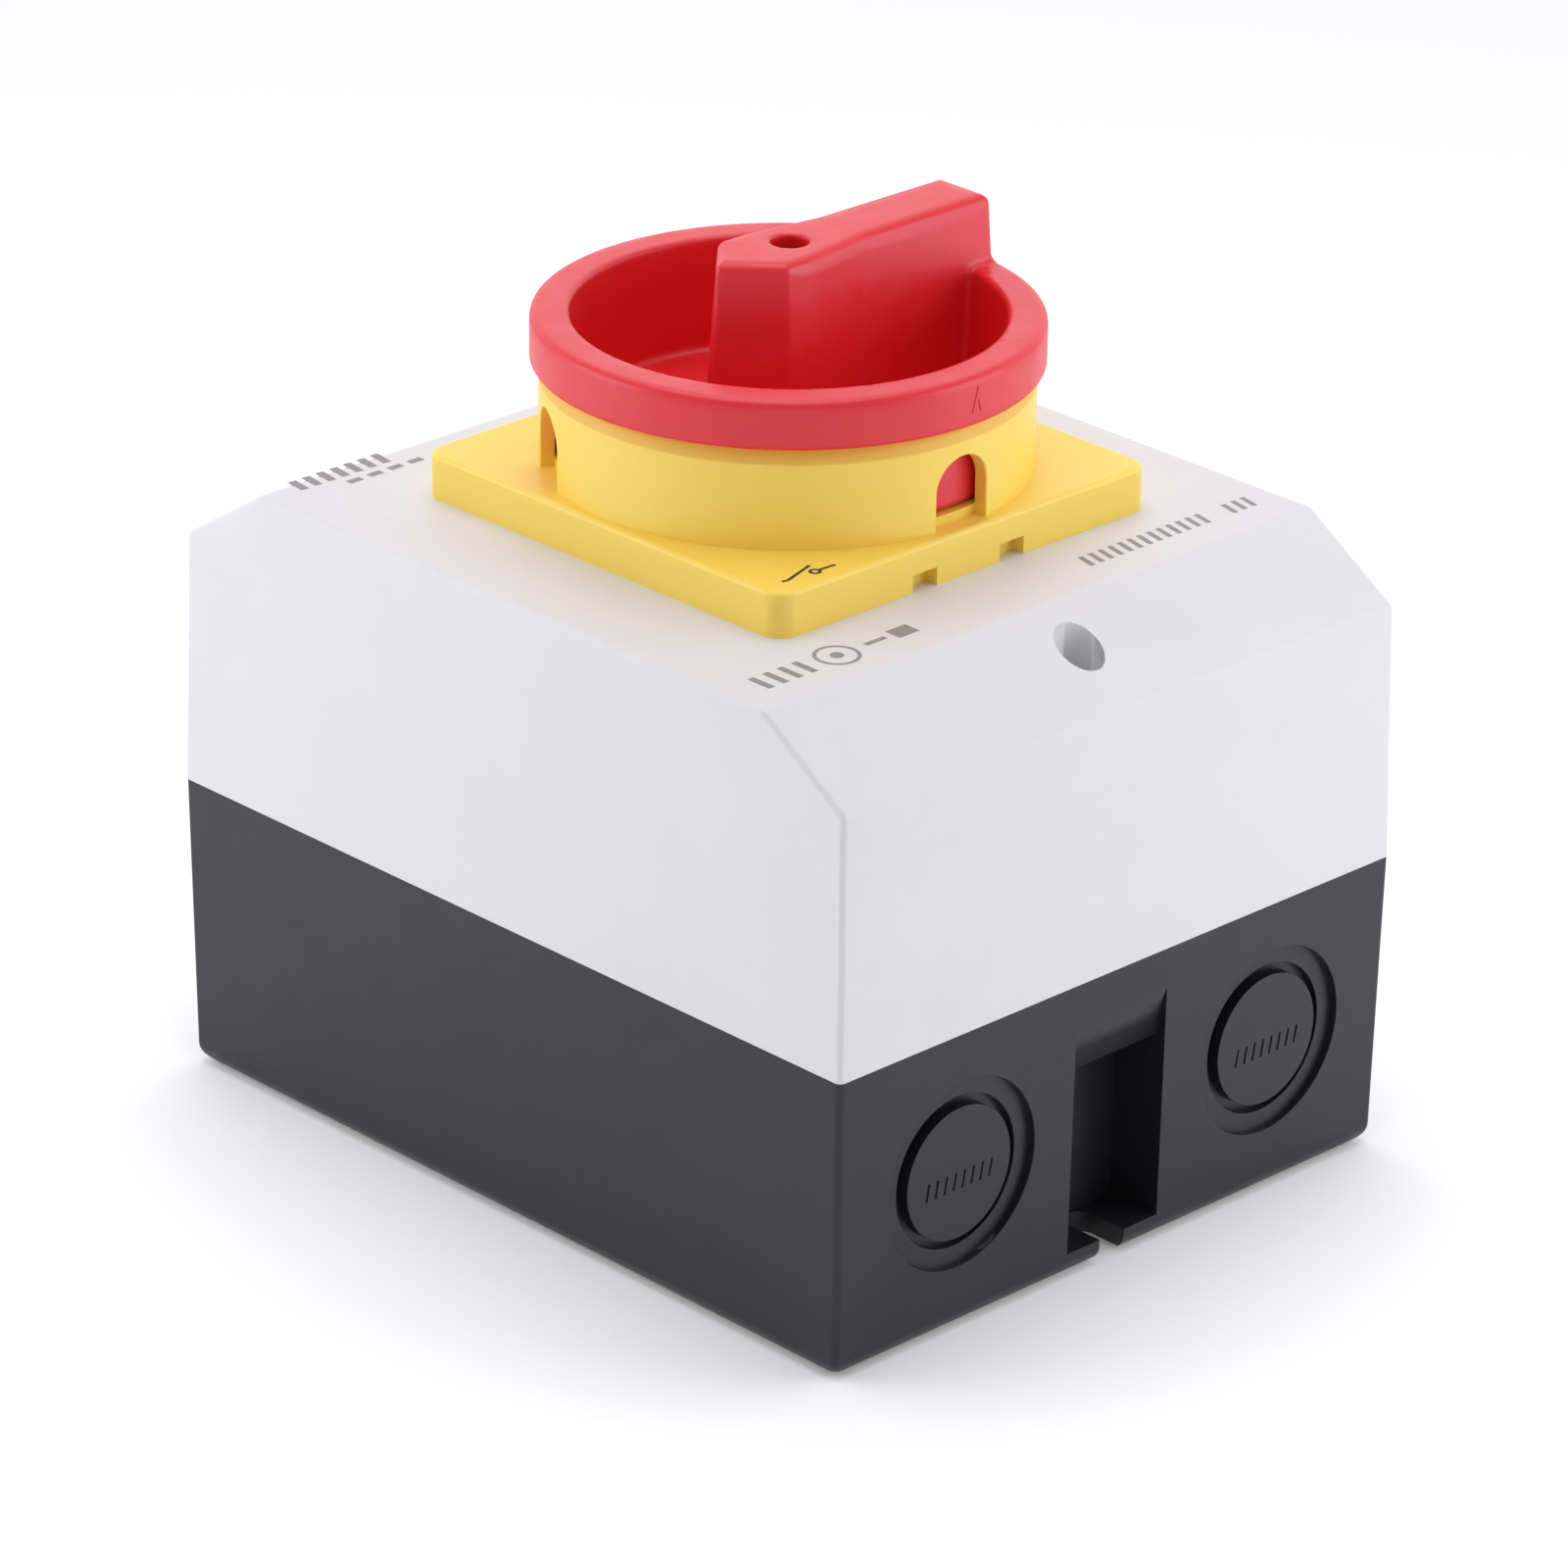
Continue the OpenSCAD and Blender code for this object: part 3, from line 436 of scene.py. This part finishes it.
def ink(name, colour):
    """Pad-printed ink, a little uneven where it is thin."""
    material, tree, shader, place = node_material(name)
    lighter = tuple(min(c * 1.25, 1) for c in colour)
    tree.links.new(tint(tree, noise(tree, place, 0.5, 4), colour, lighter), shader.inputs["Base Color"])
    tree.links.new(spread(tree, noise(tree, place, 2), 0.5, 0.65), shader.inputs["Roughness"])
    tree.links.new(bump(tree, noise(tree, place, 0.25), 0.003), shader.inputs["Normal"])
    return material


GREY_INK = ink("grey_ink", (0.25, 0.24, 0.25))
BLACK_INK = ink("black_ink", (0.04, 0.03, 0.02))

FINISHES = {
    "base_plastic": moulded("base_plastic", (0.011, 0.0105, 0.014), 0.38, 0.3, 0.005, 0.12,
                            specular=0.47, reflection=(0.97, 0.96, 1.0)),
    "cover_plastic": moulded("cover_plastic", (0.725, 0.716, 0.738), 0.5, 0.3, 0.005, 0.012),
    "escutcheon_plastic": moulded("escutcheon_plastic", (0.97, 0.70, 0.115), 0.42, 0.4, 0.004, 0.012,
                                  specular=0.7, reflection=(1.0, 0.9, 0.7)),
    "handle_plastic": moulded("handle_plastic", (0.75, 0.0135, 0.017), 0.38, 0.35, 0.006, 0.02,
                              specular=0.75, reflection=(1.0, 0.82, 1.0)),
    "switch_plastic": moulded("switch_plastic", (0.03, 0.03, 0.033), 0.5, 0.35, 0.008, 0.15),
    "chamber_plastic": moulded("chamber_plastic", (0.05, 0.05, 0.055), 0.5, 0.4, 0.008, 0.15),
    "cam_plastic": moulded("cam_plastic", (0.68, 0.64, 0.54), 0.4, 0.5, 0.004, 0.04),
    "seal_rubber": rubber("seal_rubber", (0.025, 0.025, 0.027)),
    "zinc_steel": metal("zinc_steel", (0.66, 0.67, 0.69), 0.34),
    "spring_steel": metal("spring_steel", (0.5, 0.5, 0.51), 0.3),
    "shaft_steel": metal("shaft_steel", (0.58, 0.58, 0.59), 0.32, 0.2, 0.004, (1, 1, 0.04)),
    "contact_copper": metal("contact_copper", (0.85, 0.47, 0.3), 0.32, 0.2, 0.003, (1, 0.08, 1)),
    "bar_brass": metal("bar_brass", (0.83, 0.63, 0.27), 0.3, 0.2, 0.004, (1, 0.05, 1)),
}


# ------------------------------------------------------------------ handle


def handle_piece():
    step = 0.33
    reach = RING_R + 1
    grid = Grid((-reach, -reach, HUB_Z - 1), (reach, reach, GRIP_TOP_Z + 1), step)
    z = grid.z

    low, high = RING_Z
    cup = rounded_outline([
        (0, HUB_Z, 0), (HUB_R, HUB_Z, 0.4), (HUB_R, RETAINING_GROOVE_Z[0], 0),
        (GROOVE_R, RETAINING_GROOVE_Z[0], 0), (GROOVE_R, RETAINING_GROOVE_Z[1], 0),
        (HUB_R, RETAINING_GROOVE_Z[1], 0), (HUB_R, SEAL_GROOVE_Z[0], 0), (GROOVE_R, SEAL_GROOVE_Z[0], 0),
        (GROOVE_R, SEAL_GROOVE_Z[1], 0), (HUB_R, SEAL_GROOVE_Z[1], 0),
        (HUB_R, CUP_FLOOR_Z - CUP_FLOOR_T, 0.6), (CUP_FLOOR_R, CUP_FLOOR_Z - CUP_FLOOR_T, 0.6),
        (CUP_FLOOR_R, SKIRT_Z, 0.4), (SKIRT_R, SKIRT_Z, 0.4), (SKIRT_R, low, 0.4), (RING_R, low, 0.6),
        (RING_R, high, RING_EDGE_R), (CUP_R, high, 0.7), (CUP_FLOOR_R, CUP_FLOOR_Z, 1.2),
        (0, CUP_FLOOR_Z, 0)])
    shape = grid.lathe(cup)

    tail_x = BOSS_HALF - TAIL_REACH
    neck_x, neck_y = GRIP_NECK
    grip = rounded_outline([
        (-TAIL_REACH, 0, 0.6), (tail_x, -BOSS_HALF, 1.0), (GRIP_BOSS_END_X, -BOSS_HALF, GRIP_BEND_R),
        (neck_x, -neck_y, GRIP_BEND_R), (GRIP_REACH, -GRIP_HALF, 0.6), (GRIP_REACH, GRIP_HALF, 0.6),
        (neck_x, neck_y, GRIP_BEND_R), (GRIP_BOSS_END_X, BOSS_HALF, GRIP_BEND_R), (tail_x, BOSS_HALF, 1.0)])
    sides = outline_distance(grid.x, grid.y, grip) - (GRIP_TOP_Z - z) * GRIP_DRAFT
    bar = overlap(sides, z - GRIP_TOP_Z, GRIP_EDGE_R)
    bar = overlap(bar, CUP_FLOOR_Z - 1 - z)
    bar = overlap(bar, grid.radius() - np.where(z < low + 0.5, SKIRT_R - 0.5, RING_R - 0.5))
    shape = join(shape, bar, GRIP_FILLET)

    for angle in SHACKLE_ANGLES:
        a = math.radians(angle)
        centre = (SHACKLE_X * math.cos(a), SHACKLE_X * math.sin(a), CUP_FLOOR_Z)
        lean = (-math.cos(SHACKLE_TILT) * math.cos(a), -math.cos(SHACKLE_TILT) * math.sin(a),
                math.sin(SHACKLE_TILT))
        along = (grid.x - centre[0]) * lean[0] + (grid.y - centre[1]) * lean[1] + (z - centre[2]) * lean[2]
        hole = overlap(grid.tube(centre, lean, SHACKLE_R), np.abs(along - 2) - 8)
        shape = cut(shape, hole, 0.3)

    socket = grid.block((-SOCKET_HALF, -SOCKET_HALF, HUB_Z - 2), (SOCKET_HALF, SOCKET_HALF, SHAFT_TOP_Z))
    screw_hole = overlap(grid.radius() - SCREW_HOLE_R, SCREW_SEAT_Z - z)
    shape = cut(shape, socket)
    shape = cut(shape, overlap(grid.radius() - 1.7, SHAFT_TOP_Z - 1 - z))
    shape = cut(shape, screw_hole, 0.3)
    return surface("red_handle", grid, shape, 0.02)


# ------------------------------------------------------------------ enclosure shells


def cleaned(node):
    """CAD node's mesh as a bmesh, with doubled points welded and flat triangles joined."""
    work = bmesh.new()
    work.from_mesh(nodes[node].data)
    bmesh.ops.remove_doubles(work, verts=work.verts, dist=0.002 * MM)
    bmesh.ops.dissolve_limit(work, angle_limit=math.radians(0.4), verts=work.verts, edges=work.edges)
    work.normal_update()
    return work


def sharp_edges(work, chosen, least=25):
    """Edges that stand out by over an angle in degrees and whose ends, in millimetres, are chosen."""
    found = []
    for edge in work.edges:
        if len(edge.link_faces) == 2 and edge.is_convex and edge.calc_face_angle(0) > math.radians(least):
            ends = [np.array(v.co) / MM for v in edge.verts]
            if chosen(*ends):
                found.append(edge)
    return found


def bevelled(work, edges, radius, segments):
    bmesh.ops.bevel(work, geom=edges, offset=radius * MM, offset_type="OFFSET", segments=segments,
                    profile=0.5, affect="EDGES", clamp_overlap=False)
    work.normal_update()


def shell_object(name, work, smooth_angle=32):
    mesh = bpy.data.meshes.new(name)
    work.to_mesh(mesh)
    work.free()
    mesh.validate()
    return shaded(placed(name, mesh), smooth_angle)


def shaded(piece, smooth_angle=32):
    """Smooth shading up to an angle, with flat faces kept flat beside rounded edges."""
    piece.data.shade_smooth()
    piece.data.set_sharp_from_angle(angle=math.radians(smooth_angle))
    weighted = piece.modifiers.new("weighted_normals", "WEIGHTED_NORMAL")
    weighted.keep_sharp = True
    weighted.weight = 50
    return piece


def stacked(rings, closed=True):
    """Bmesh skinned over rings of points in millimetres; the end rings are filled in, or joined together."""
    work = bmesh.new()
    rows = [[work.verts.new(Vector(p) * MM) for p in ring] for ring in rings]
    count = len(rings[0])
    for low, high in zip(rows, rows[1:]):
        for k in range(count):
            n = (k + 1) % count
            work.faces.new((low[k], low[n], high[n], high[k]))
    if closed:
        work.faces.new(rows[0][::-1])
        work.faces.new(rows[-1])
    else:
        for k in range(count):
            n = (k + 1) % count
            work.faces.new((rows[-1][k], rows[-1][n], rows[0][n], rows[0][k]))
    return work


def prism(outline, low, high):
    """Straight solid on an anticlockwise outline, between two heights."""
    return as_object("prism", stacked([[(x, y, z) for x, y in outline] for z in (low, high)]))


def circle(radius, centre=(0, 0), count=96):
    turns = [math.tau * k / count for k in range(count)]
    return [(centre[0] + radius * math.cos(t), centre[1] + radius * math.sin(t)) for t in turns]


def turned(profile, count=240):
    """Ring of revolution about Z of an outline of (radius, height) points."""
    rings = [[(r * math.cos(t), r * math.sin(t), z) for r, z in profile]
             for t in (math.tau * k / count for k in range(count))]
    work = bmesh.new()
    rows = [[work.verts.new(Vector(p) * MM) for p in ring] for ring in rings]
    for i, row in enumerate(rows):
        after = rows[(i + 1) % count]
        for k in range(len(profile)):
            n = (k + 1) % len(profile)
            work.faces.new((row[k], row[n], after[n], after[k]))
    return as_object("turned", work)


def as_object(name, work):
    bmesh.ops.recalc_face_normals(work, faces=work.faces)
    mesh = bpy.data.meshes.new(name)
    work.to_mesh(mesh)
    work.free()
    return placed(name, mesh)


def carve(piece, steps):
    """Applies exact Booleans to a piece: steps are (operation, tool object)."""
    for operation, tool in steps:
        modifier = piece.modifiers.new("carve", "BOOLEAN")
        modifier.operation = operation
        modifier.solver = "EXACT"
        modifier.object = tool
        bpy.context.view_layer.update()
        seen = piece.evaluated_get(bpy.context.evaluated_depsgraph_get())
        mesh = bpy.data.meshes.new_from_object(seen)
        piece.modifiers.remove(modifier)
        piece.data = mesh
        bpy.data.objects.remove(tool)
    return piece


def window_tool(angle):
    """Solid of a padlock window: straight through the collar wall, and rounded out where it opens outside."""
    foot_z = PLATE_Z - 1
    across = [(-WINDOW_HALF, foot_z), (WINDOW_HALF, foot_z)]
    arch_z = WINDOW_TOP_Z - WINDOW_HALF
    arch = [math.pi * k / 24 for k in range(25)]
    across += [(WINDOW_HALF * math.cos(t), arch_z + WINDOW_HALF * math.sin(t)) for t in arch]
    outward = [(-1, 0), (1, 0)] + [(math.cos(t), math.sin(t)) for t in arch]
    layers = [(-5.0, 0.0)]
    for k in range(5):
        t = math.pi / 2 * k / 4
        layers.append((0.02 + WINDOW_EDGE_R * (math.sin(t) - 1), WINDOW_EDGE_R * (1 - math.cos(t))))
    layers.append((0.6, WINDOW_EDGE_R))
    turn = math.radians(angle)
    rings = []
    for depth, flare in layers:
        ring = []
        for (w, z), (dw, dz) in zip(across, outward):
            w, z = w + flare * dw, z + flare * dz
            reach = math.sqrt(COLLAR_R ** 2 - w ** 2) + depth
            x = reach * math.cos(turn) - w * math.sin(turn)
            y = reach * math.sin(turn) + w * math.cos(turn)
            ring.append((x, y, z))
        rings.append(ring)
    return as_object("window", stacked(rings))


def escutcheon_piece():
    def square(inset):
        h = PLATE_HALF - inset
        corners = ((-h, -h), (h, -h), (h, h), (-h, h))
        return rounded_outline([(x, y, PLATE_CORNER_R - inset) for x, y in corners])

    def frame_channel():
        ring = [(s * (SEAL_HALF - d), t * (SEAL_HALF - d)) for d in (0, SEAL_W)
                for s, t in ((-1, -1), (1, -1), (1, 1), (-1, 1))]
        outer, inner = ring[:4], ring[4:]
        heights = (TOP_Z - 1, TOP_Z + SEAL_T)
        sides = ((outer, heights[0]), (outer, heights[1]), (inner, heights[1]), (inner, heights[0]))
        return as_object("channel", stacked([[(x, y, z) for x, y in ring] for ring, z in sides], False))

    layers = [(0.0, TOP_Z)]
    for k in range(6):
        t = math.pi / 2 * k / 5
        layers.append((PLATE_EDGE_R * (1 - math.cos(t)), PLATE_Z - PLATE_EDGE_R * (1 - math.sin(t))))
    plate = as_object("yellow_escutcheon", stacked(
        [[(x, y, z) for x, y in square(inset)] for inset, z in layers]))

    inward, down = COLLAR_CHAMFER
    collar = turned(rounded_outline([
        (COLLAR_INNER_R, PLATE_Z - 2, 0), (COLLAR_R, PLATE_Z - 2, 0),
        (COLLAR_R, COLLAR_TOP_Z - down, COLLAR_EDGE_R),
        (COLLAR_R - inward, COLLAR_TOP_Z, COLLAR_EDGE_R), (COLLAR_INNER_R, COLLAR_TOP_Z, 0)], 4))
    carve(collar, [("DIFFERENCE", window_tool(angle)) for angle in WINDOW_ANGLES])
    steps = [("UNION", collar)]
    steps.append(("UNION", prism(circle(COLLAR_INNER_R + 0.05, count=240), PLATE_Z - 1, SILL_Z)))
    steps.append(("UNION", prism(circle(SPIGOT_R), SPIGOT_Z, TOP_Z + 2)))
    steps.append(("DIFFERENCE", prism(circle(BEARING_R), SPIGOT_Z - 1, SILL_Z + 1)))
    steps.append(("DIFFERENCE", frame_channel()))
    for x in (-1, 1):
        for y in (-1, 1):
            hole = circle(ESCUTCHEON_SCREW_R, (x * ESCUTCHEON_SCREW_AT, y * ESCUTCHEON_SCREW_AT), 48)
            steps.append(("DIFFERENCE", prism(hole, TOP_Z - 1, TOP_Z + 5)))
            low, high = sorted((y * (PLATE_HALF + 1), y * (PLATE_HALF - NOTCH_DEPTH)))
            left, right = x * NOTCH_X - NOTCH_HALF, x * NOTCH_X + NOTCH_HALF
            notch = [(left, low), (right, low), (right, high), (left, high)]
            steps.append(("DIFFERENCE", prism(notch, TOP_Z - 1, TOP_Z + NOTCH_H)))
    return shaded(carve(plate, steps))


def cover_piece():
    work = cleaned("cover")
    half_w, half_l = cover_high[0], cover_high[1]

    def on_outside(p):
        on_side = abs(abs(p[0]) - half_w) < 0.75 or abs(abs(p[1]) - half_l) < 0.75
        return p[2] > JOINT_Z + 0.1 and (on_side or p[2] > 70)

    def outer(a, b):
        long = np.linalg.norm(a - b) > 8
        return long and (on_outside(a) or on_outside(b)) and max(a[2], b[2]) > JOINT_Z + 1 \
            and min(outward(a), outward(b)) > -0.1

    def outward(p):
        """How far a point stands out of the cover's inner faces, in millimetres."""
        side = max(abs(p[0]) - (half_w - 1.2), abs(p[1]) - (half_l - 1.2))
        top = p[2] - (TOP_Z - 0.2)
        return max(side, top)

    bevelled(work, sharp_edges(work, outer), COVER_EDGE_R, 4)
    return shell_object("grey_cover", work)


def base_piece():
    work = cleaned("base_enclosure")
    half_w, half_l = base_high[0], base_high[1]

    def corner(a, b):
        at_corner = all(abs(abs(p[0]) - half_w) < 3.5 and abs(abs(p[1]) - half_l) < 3.5 for p in (a, b))
        return at_corner and abs(a[2] - b[2]) > 0.05

    def knockout_ring(a, b):
        """Whether an edge is one of the circles that open on the end face or stand up from the recess."""
        reach = [math.hypot(abs(p[0]) - KNOCKOUT_X, p[2] - KNOCKOUT_Z) for p in (a, b)]
        depth = [half_l - abs(p[1]) for p in (a, b)]
        return max(reach) < KNOCKOUT_OUTER_R + 0.1 and max(depth) < KNOCKOUT_RECESS + 0.5 \
            and abs(reach[0] - reach[1]) < 0.05

    bevelled(work, sharp_edges(work, corner), BASE_CORNER_R, 4)
    bevelled(work, sharp_edges(work, knockout_ring, 50), KNOCKOUT_EDGE_R, 2)
    base = carve(as_object("charcoal_base", work), [("DIFFERENCE", disc_strokes())])
    return shaded(base)


# ------------------------------------------------------------------ marks


def ribbon(points, width):
    """Anticlockwise outline of a line of a width through points, with square ends."""
    points = [np.array(p, float) for p in points]
    steps = [(b - a) / np.linalg.norm(b - a) for a, b in zip(points, points[1:])]
    right, left = [], []
    for point, before, after in zip(points, [steps[0]] + steps, steps + [steps[-1]]):
        out = np.array((before[1] + after[1], -before[0] - after[0]))
        out /= np.linalg.norm(out)
        out *= width / 2 / (out @ np.array((before[1], -before[0])))
        right.append(point + out)
        left.append(point - out)
    return right + left[::-1]


def strokes(left, right, low, high, pitch, width, lean):
    """Row of equal slanted strokes between two places along a line."""
    count = int((right - left) / pitch) + 1
    return [ribbon([(left + pitch * k, low), (left + pitch * k + lean, high)], width) for k in range(count)]


def hoop(centre, radius, width, count=48):
    """Outer and inner outline of a flat ring."""
    inner = circle(radius - width / 2, centre, count)
    outer = circle(radius + width / 2, centre, count)
    return outer, inner


def gathered(name, parts):
    """One object from several bmeshes."""
    total = bmesh.new()
    for part in parts:
        loose = bpy.data.meshes.new("loose")
        part.to_mesh(loose)
        part.free()
        total.from_mesh(loose)
        bpy.data.meshes.remove(loose)
    return as_object(name, total)


def solids(outlines, hoops, place, low, high):
    """Bmeshes of outlines and hoops between two depths; place turns (u, v, depth) into a point."""
    made = []
    for outline in outlines:
        made.append(stacked([[place(u, v, depth) for u, v in outline] for depth in (low, high)]))
    for outer, inner in hoops:
        sides = ((outer, low), (outer, high), (inner, high), (inner, low))
        made.append(stacked([[place(u, v, depth) for u, v in ring] for ring, depth in sides], False))
    return made


def on_top(z):
    return lambda u, v, depth: (u, v, z + depth)


def cover_print():
    """Rows of strokes, bars and a ringed dot on the cover's top, round the front plate."""
    flats = []
    for left, right, low, high, pitch, width, lean in STROKE_ROWS:
        flats += strokes(left, right, low, high, pitch, width, lean)
    for left, right, y, width in BARS:
        flats.append(ribbon([(left, y), (right, y)], width))
    flats.append(circle(0.9, RINGED_DOT_AT, 32))
    rings = [hoop(RINGED_DOT_AT, 2.75, 0.5)]
    return gathered("cover_print", solids(flats, rings, on_top(TOP_Z), -PRINT_ROOT, PRINT_T))


def switch_symbol():
    """Plain circuit symbol of an open switch, printed on the front plate."""
    blade = ribbon([(-29.0, -29.3), (-28.1, -29.45), (-22.9, -27.8)], SYMBOL_W)
    lead = ribbon([(-23.0, -29.6), (-20.4, -29.75)], SYMBOL_W)
    rings = [hoop((-23.75, -29.65), 0.62, SYMBOL_W)]
    return gathered("plate_print", solids([blade, lead], rings, on_top(PLATE_Z), -PRINT_ROOT, PRINT_T))


def ring_mark():
    """Small raised caret on the side of the handle's ring."""
    def place(u, v, depth):
        turn = RING_MARK_ANGLE + u / RING_R
        return ((RING_R + depth) * math.cos(turn), (RING_R + depth) * math.sin(turn), v)

    low, high = RING_MARK_Z - RING_MARK_HALF_H, RING_MARK_Z + RING_MARK_HALF_H
    caret = ribbon([(-RING_MARK_HALF_W, low), (0, high), (RING_MARK_HALF_W, low)], RING_MARK_STROKE)
    return gathered("ring_mark", solids([caret], [], place, -0.1, RING_MARK_T))


def disc_strokes():
    """Tool for the row of strokes engraved in each knockout's disc."""
    tools = []
    for end in (-1, 1):
        disc_y = base_high[1] - KNOCKOUT_DISC_DEPTH
        for x in (-KNOCKOUT_X, KNOCKOUT_X):
            row = strokes(-5.6, 5.4, -2.2, 0.2, 1.55, 0.4, 0.45)

            def place(u, v, depth):
                return (x - end * u, end * (disc_y + depth), KNOCKOUT_Z + v)

            tools += solids(row, [], place, -ENGRAVED, 0.3)
    return gathered("strokes", tools)


# ------------------------------------------------------------------ contact springs


def contact_spring_piece(i):
    """Compression spring along X with closed ends; also gives its centre, length and the X of its seat."""
    low, high = box_mm(f"contact_spring_{i}")
    centre = (low + high) / 2
    per_turn, sides = 28, 12
    turns = np.arange(int(SPRING_TURNS * per_turn) + 1) / per_turn
    closed = np.clip(np.minimum(turns, SPRING_TURNS - turns), 0, 1)
    share = closed * closed * (3 - 2 * closed)
    rate = 2 * SPRING_WIRE_R * (1 - share)
    opened = high[0] - low[0] - 2 * SPRING_WIRE_R - rate.sum() / per_turn
    rate = rate + share * opened / (share.sum() / per_turn)
    along = low[0] + SPRING_WIRE_R + np.concatenate(([0], np.cumsum(rate)[:-1])) / per_turn
    rings = []
    for x, turn in zip(along, turns * math.tau):
        ring = []
        for k in range(sides):
            b = math.tau * k / sides
            r = SPRING_R + SPRING_WIRE_R * math.cos(b)
            y, z = centre[1] + r * math.cos(turn), centre[2] + r * math.sin(turn)
            ring.append((x + SPRING_WIRE_R * math.sin(b), y, z))
        rings.append(ring)
    piece = as_object(f"closing_spring_{i}", stacked(rings))
    piece.data.shade_smooth()
    return piece, centre, high[0] - low[0], high[0]


# ------------------------------------------------------------------ put together

HANDLE_BODY = "handle_and_cams"
FIXED_BODY = "enclosure"

stands_for(handle_piece(), HANDLE_BODY, "handle_plastic", "handle")
stands_for(escutcheon_piece(), FIXED_BODY, "escutcheon_plastic", "escutcheon_plate")
stands_for(cover_piece(), FIXED_BODY, "cover_plastic", "cover")
stands_for(base_piece(), FIXED_BODY, "base_plastic", "base_enclosure")

for piece, body, slot, finish in ((cover_print(), FIXED_BODY, "chamber_plastic", GREY_INK),
                                  (switch_symbol(), FIXED_BODY, "switch_plastic", BLACK_INK),
                                  (ring_mark(), HANDLE_BODY, "handle_plastic", FINISHES["handle_plastic"])):
    stands_for(piece, body, slot)
    piece.data.materials[0] = finish

for i in (1, 2, 3):
    spring, centre, length, seat_x = contact_spring_piece(i)
    stands_for(spring, FIXED_BODY, "spring_steel", f"contact_spring_{i}")
    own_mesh(spring)

for name, node in nodes.items():
    for place in node.material_slots:
        if place.material and place.material.name.split(".")[0] in FINISHES:
            place.material = FINISHES[place.material.name.split(".")[0]]


# ------------------------------------------------------------------ stage


WORLD_EVEN = 0.47
WORLD_BEHIND = 0.82
FLOOR_GLOW = 0.13
SOFTBOX_LEFT = 0.59
SOFTBOX_RIGHT = 0.61
SOFTBOX_TOP = 3.0


def floor():
    """Pale floor, just under the object, that glows a little."""
    half, gap = 6.0, 0.0002
    corners = [(-half, -half, 0), (half, -half, 0), (half, half, 0), (-half, half, 0)]
    mesh = bpy.data.meshes.new("floor")
    mesh.from_pydata(corners, [], [(0, 1, 2, 3)])
    piece = placed("floor", mesh)
    piece.location.z = -gap
    material, tree, shader, place = node_material("floor")
    tree.links.new(tint(tree, noise(tree, place, 900, 1), (0.93, 0.93, 0.93), (0.95, 0.95, 0.95)),
                   shader.inputs["Base Color"])
    shader.inputs["Roughness"].default_value = 0.9
    shader.inputs["Specular IOR Level"].default_value = 0.0
    shader.inputs["Emission Color"].default_value = (1, 1, 1, 1)
    shader.inputs["Emission Strength"].default_value = FLOOR_GLOW
    mesh.materials.append(material)


def dome():
    """Soft light from all round, brighter from behind the object."""
    world = bpy.data.worlds.new("studio")
    world.use_nodes = True
    tree = world.node_tree
    background = tree.nodes["Background"]
    background.inputs["Color"].default_value = (0.97, 0.975, 1.0, 1)
    direction = tree.nodes.new("ShaderNodeTexCoord").outputs["Generated"]
    dot = tree.nodes.new("ShaderNodeVectorMath")
    dot.operation = "DOT_PRODUCT"
    dot.inputs[1].default_value = (0.70, 0.71, 0.0)
    tree.links.new(direction, dot.inputs[0])
    lobe = tree.nodes.new("ShaderNodeMapRange")
    lobe.interpolation_type = "SMOOTHSTEP"
    lobe.inputs["To Min"].default_value = WORLD_EVEN
    lobe.inputs["To Max"].default_value = WORLD_EVEN + WORLD_BEHIND
    tree.links.new(dot.outputs["Value"], lobe.inputs["Value"])
    tree.links.new(lobe.outputs["Result"], background.inputs["Strength"])
    bpy.context.scene.world = world


def softbox(name, place, aim, power, size):
    light = bpy.data.lights.new(name, "AREA")
    light.energy = power
    light.color = (0.97, 0.97, 1.0)
    light.shape = "RECTANGLE"
    light.size, light.size_y = size
    lamp = bpy.data.objects.new(name, light)
    bpy.context.scene.collection.objects.link(lamp)
    lamp.location = place
    lamp.rotation_mode = "QUATERNION"
    lamp.rotation_quaternion = (Vector(aim) - lamp.location).to_track_quat("-Z", "Y")
    lamp.visible_camera = False


def studio():
    floor()
    dome()
    softbox("left", (-0.32, 0.26, 0.18), (-0.04, 0.05, 0.05), SOFTBOX_LEFT, (0.30, 0.30))
    softbox("right", (0.26, -0.32, 0.18), (0.05, -0.05, 0.05), SOFTBOX_RIGHT, (0.30, 0.30))
    softbox("top", (-0.02, 0.04, 0.9), (0, 0, 0.09), SOFTBOX_TOP, (0.7, 0.7))


def camera():
    """Camera looking at the box from its front left: angles in degrees, lengths in millimetres."""
    azimuth, elevation, roll = math.radians(-44.2), math.radians(24.09), math.radians(0.79)
    distance, right_offset, up_offset = 965.9, -0.16, 4.35
    target = Vector((0, 0, 50))
    back = Vector((math.sin(azimuth) * math.cos(elevation), -math.cos(azimuth) * math.cos(elevation),
                   math.sin(elevation)))
    level = (-back).cross(Vector((0, 0, 1))).normalized()
    upright = level.cross(-back)
    right = level * math.cos(roll) + upright * math.sin(roll)
    up = upright * math.cos(roll) - level * math.sin(roll)
    place = (target + back * distance - right * right_offset - up * up_offset) * MM
    data = bpy.data.cameras.new("camera")
    data.sensor_width = 36
    data.lens = 172.8
    data.clip_start, data.clip_end = 0.01, 50
    rig = bpy.data.objects.new("camera", data)
    bpy.context.scene.collection.objects.link(rig)
    turn = Matrix((right, up, back)).transposed().to_4x4()
    rig.matrix_world = Matrix.Translation(place) @ turn
    bpy.context.scene.camera = rig


studio()
camera()
bpy.context.scene.view_settings.view_transform = "Standard"
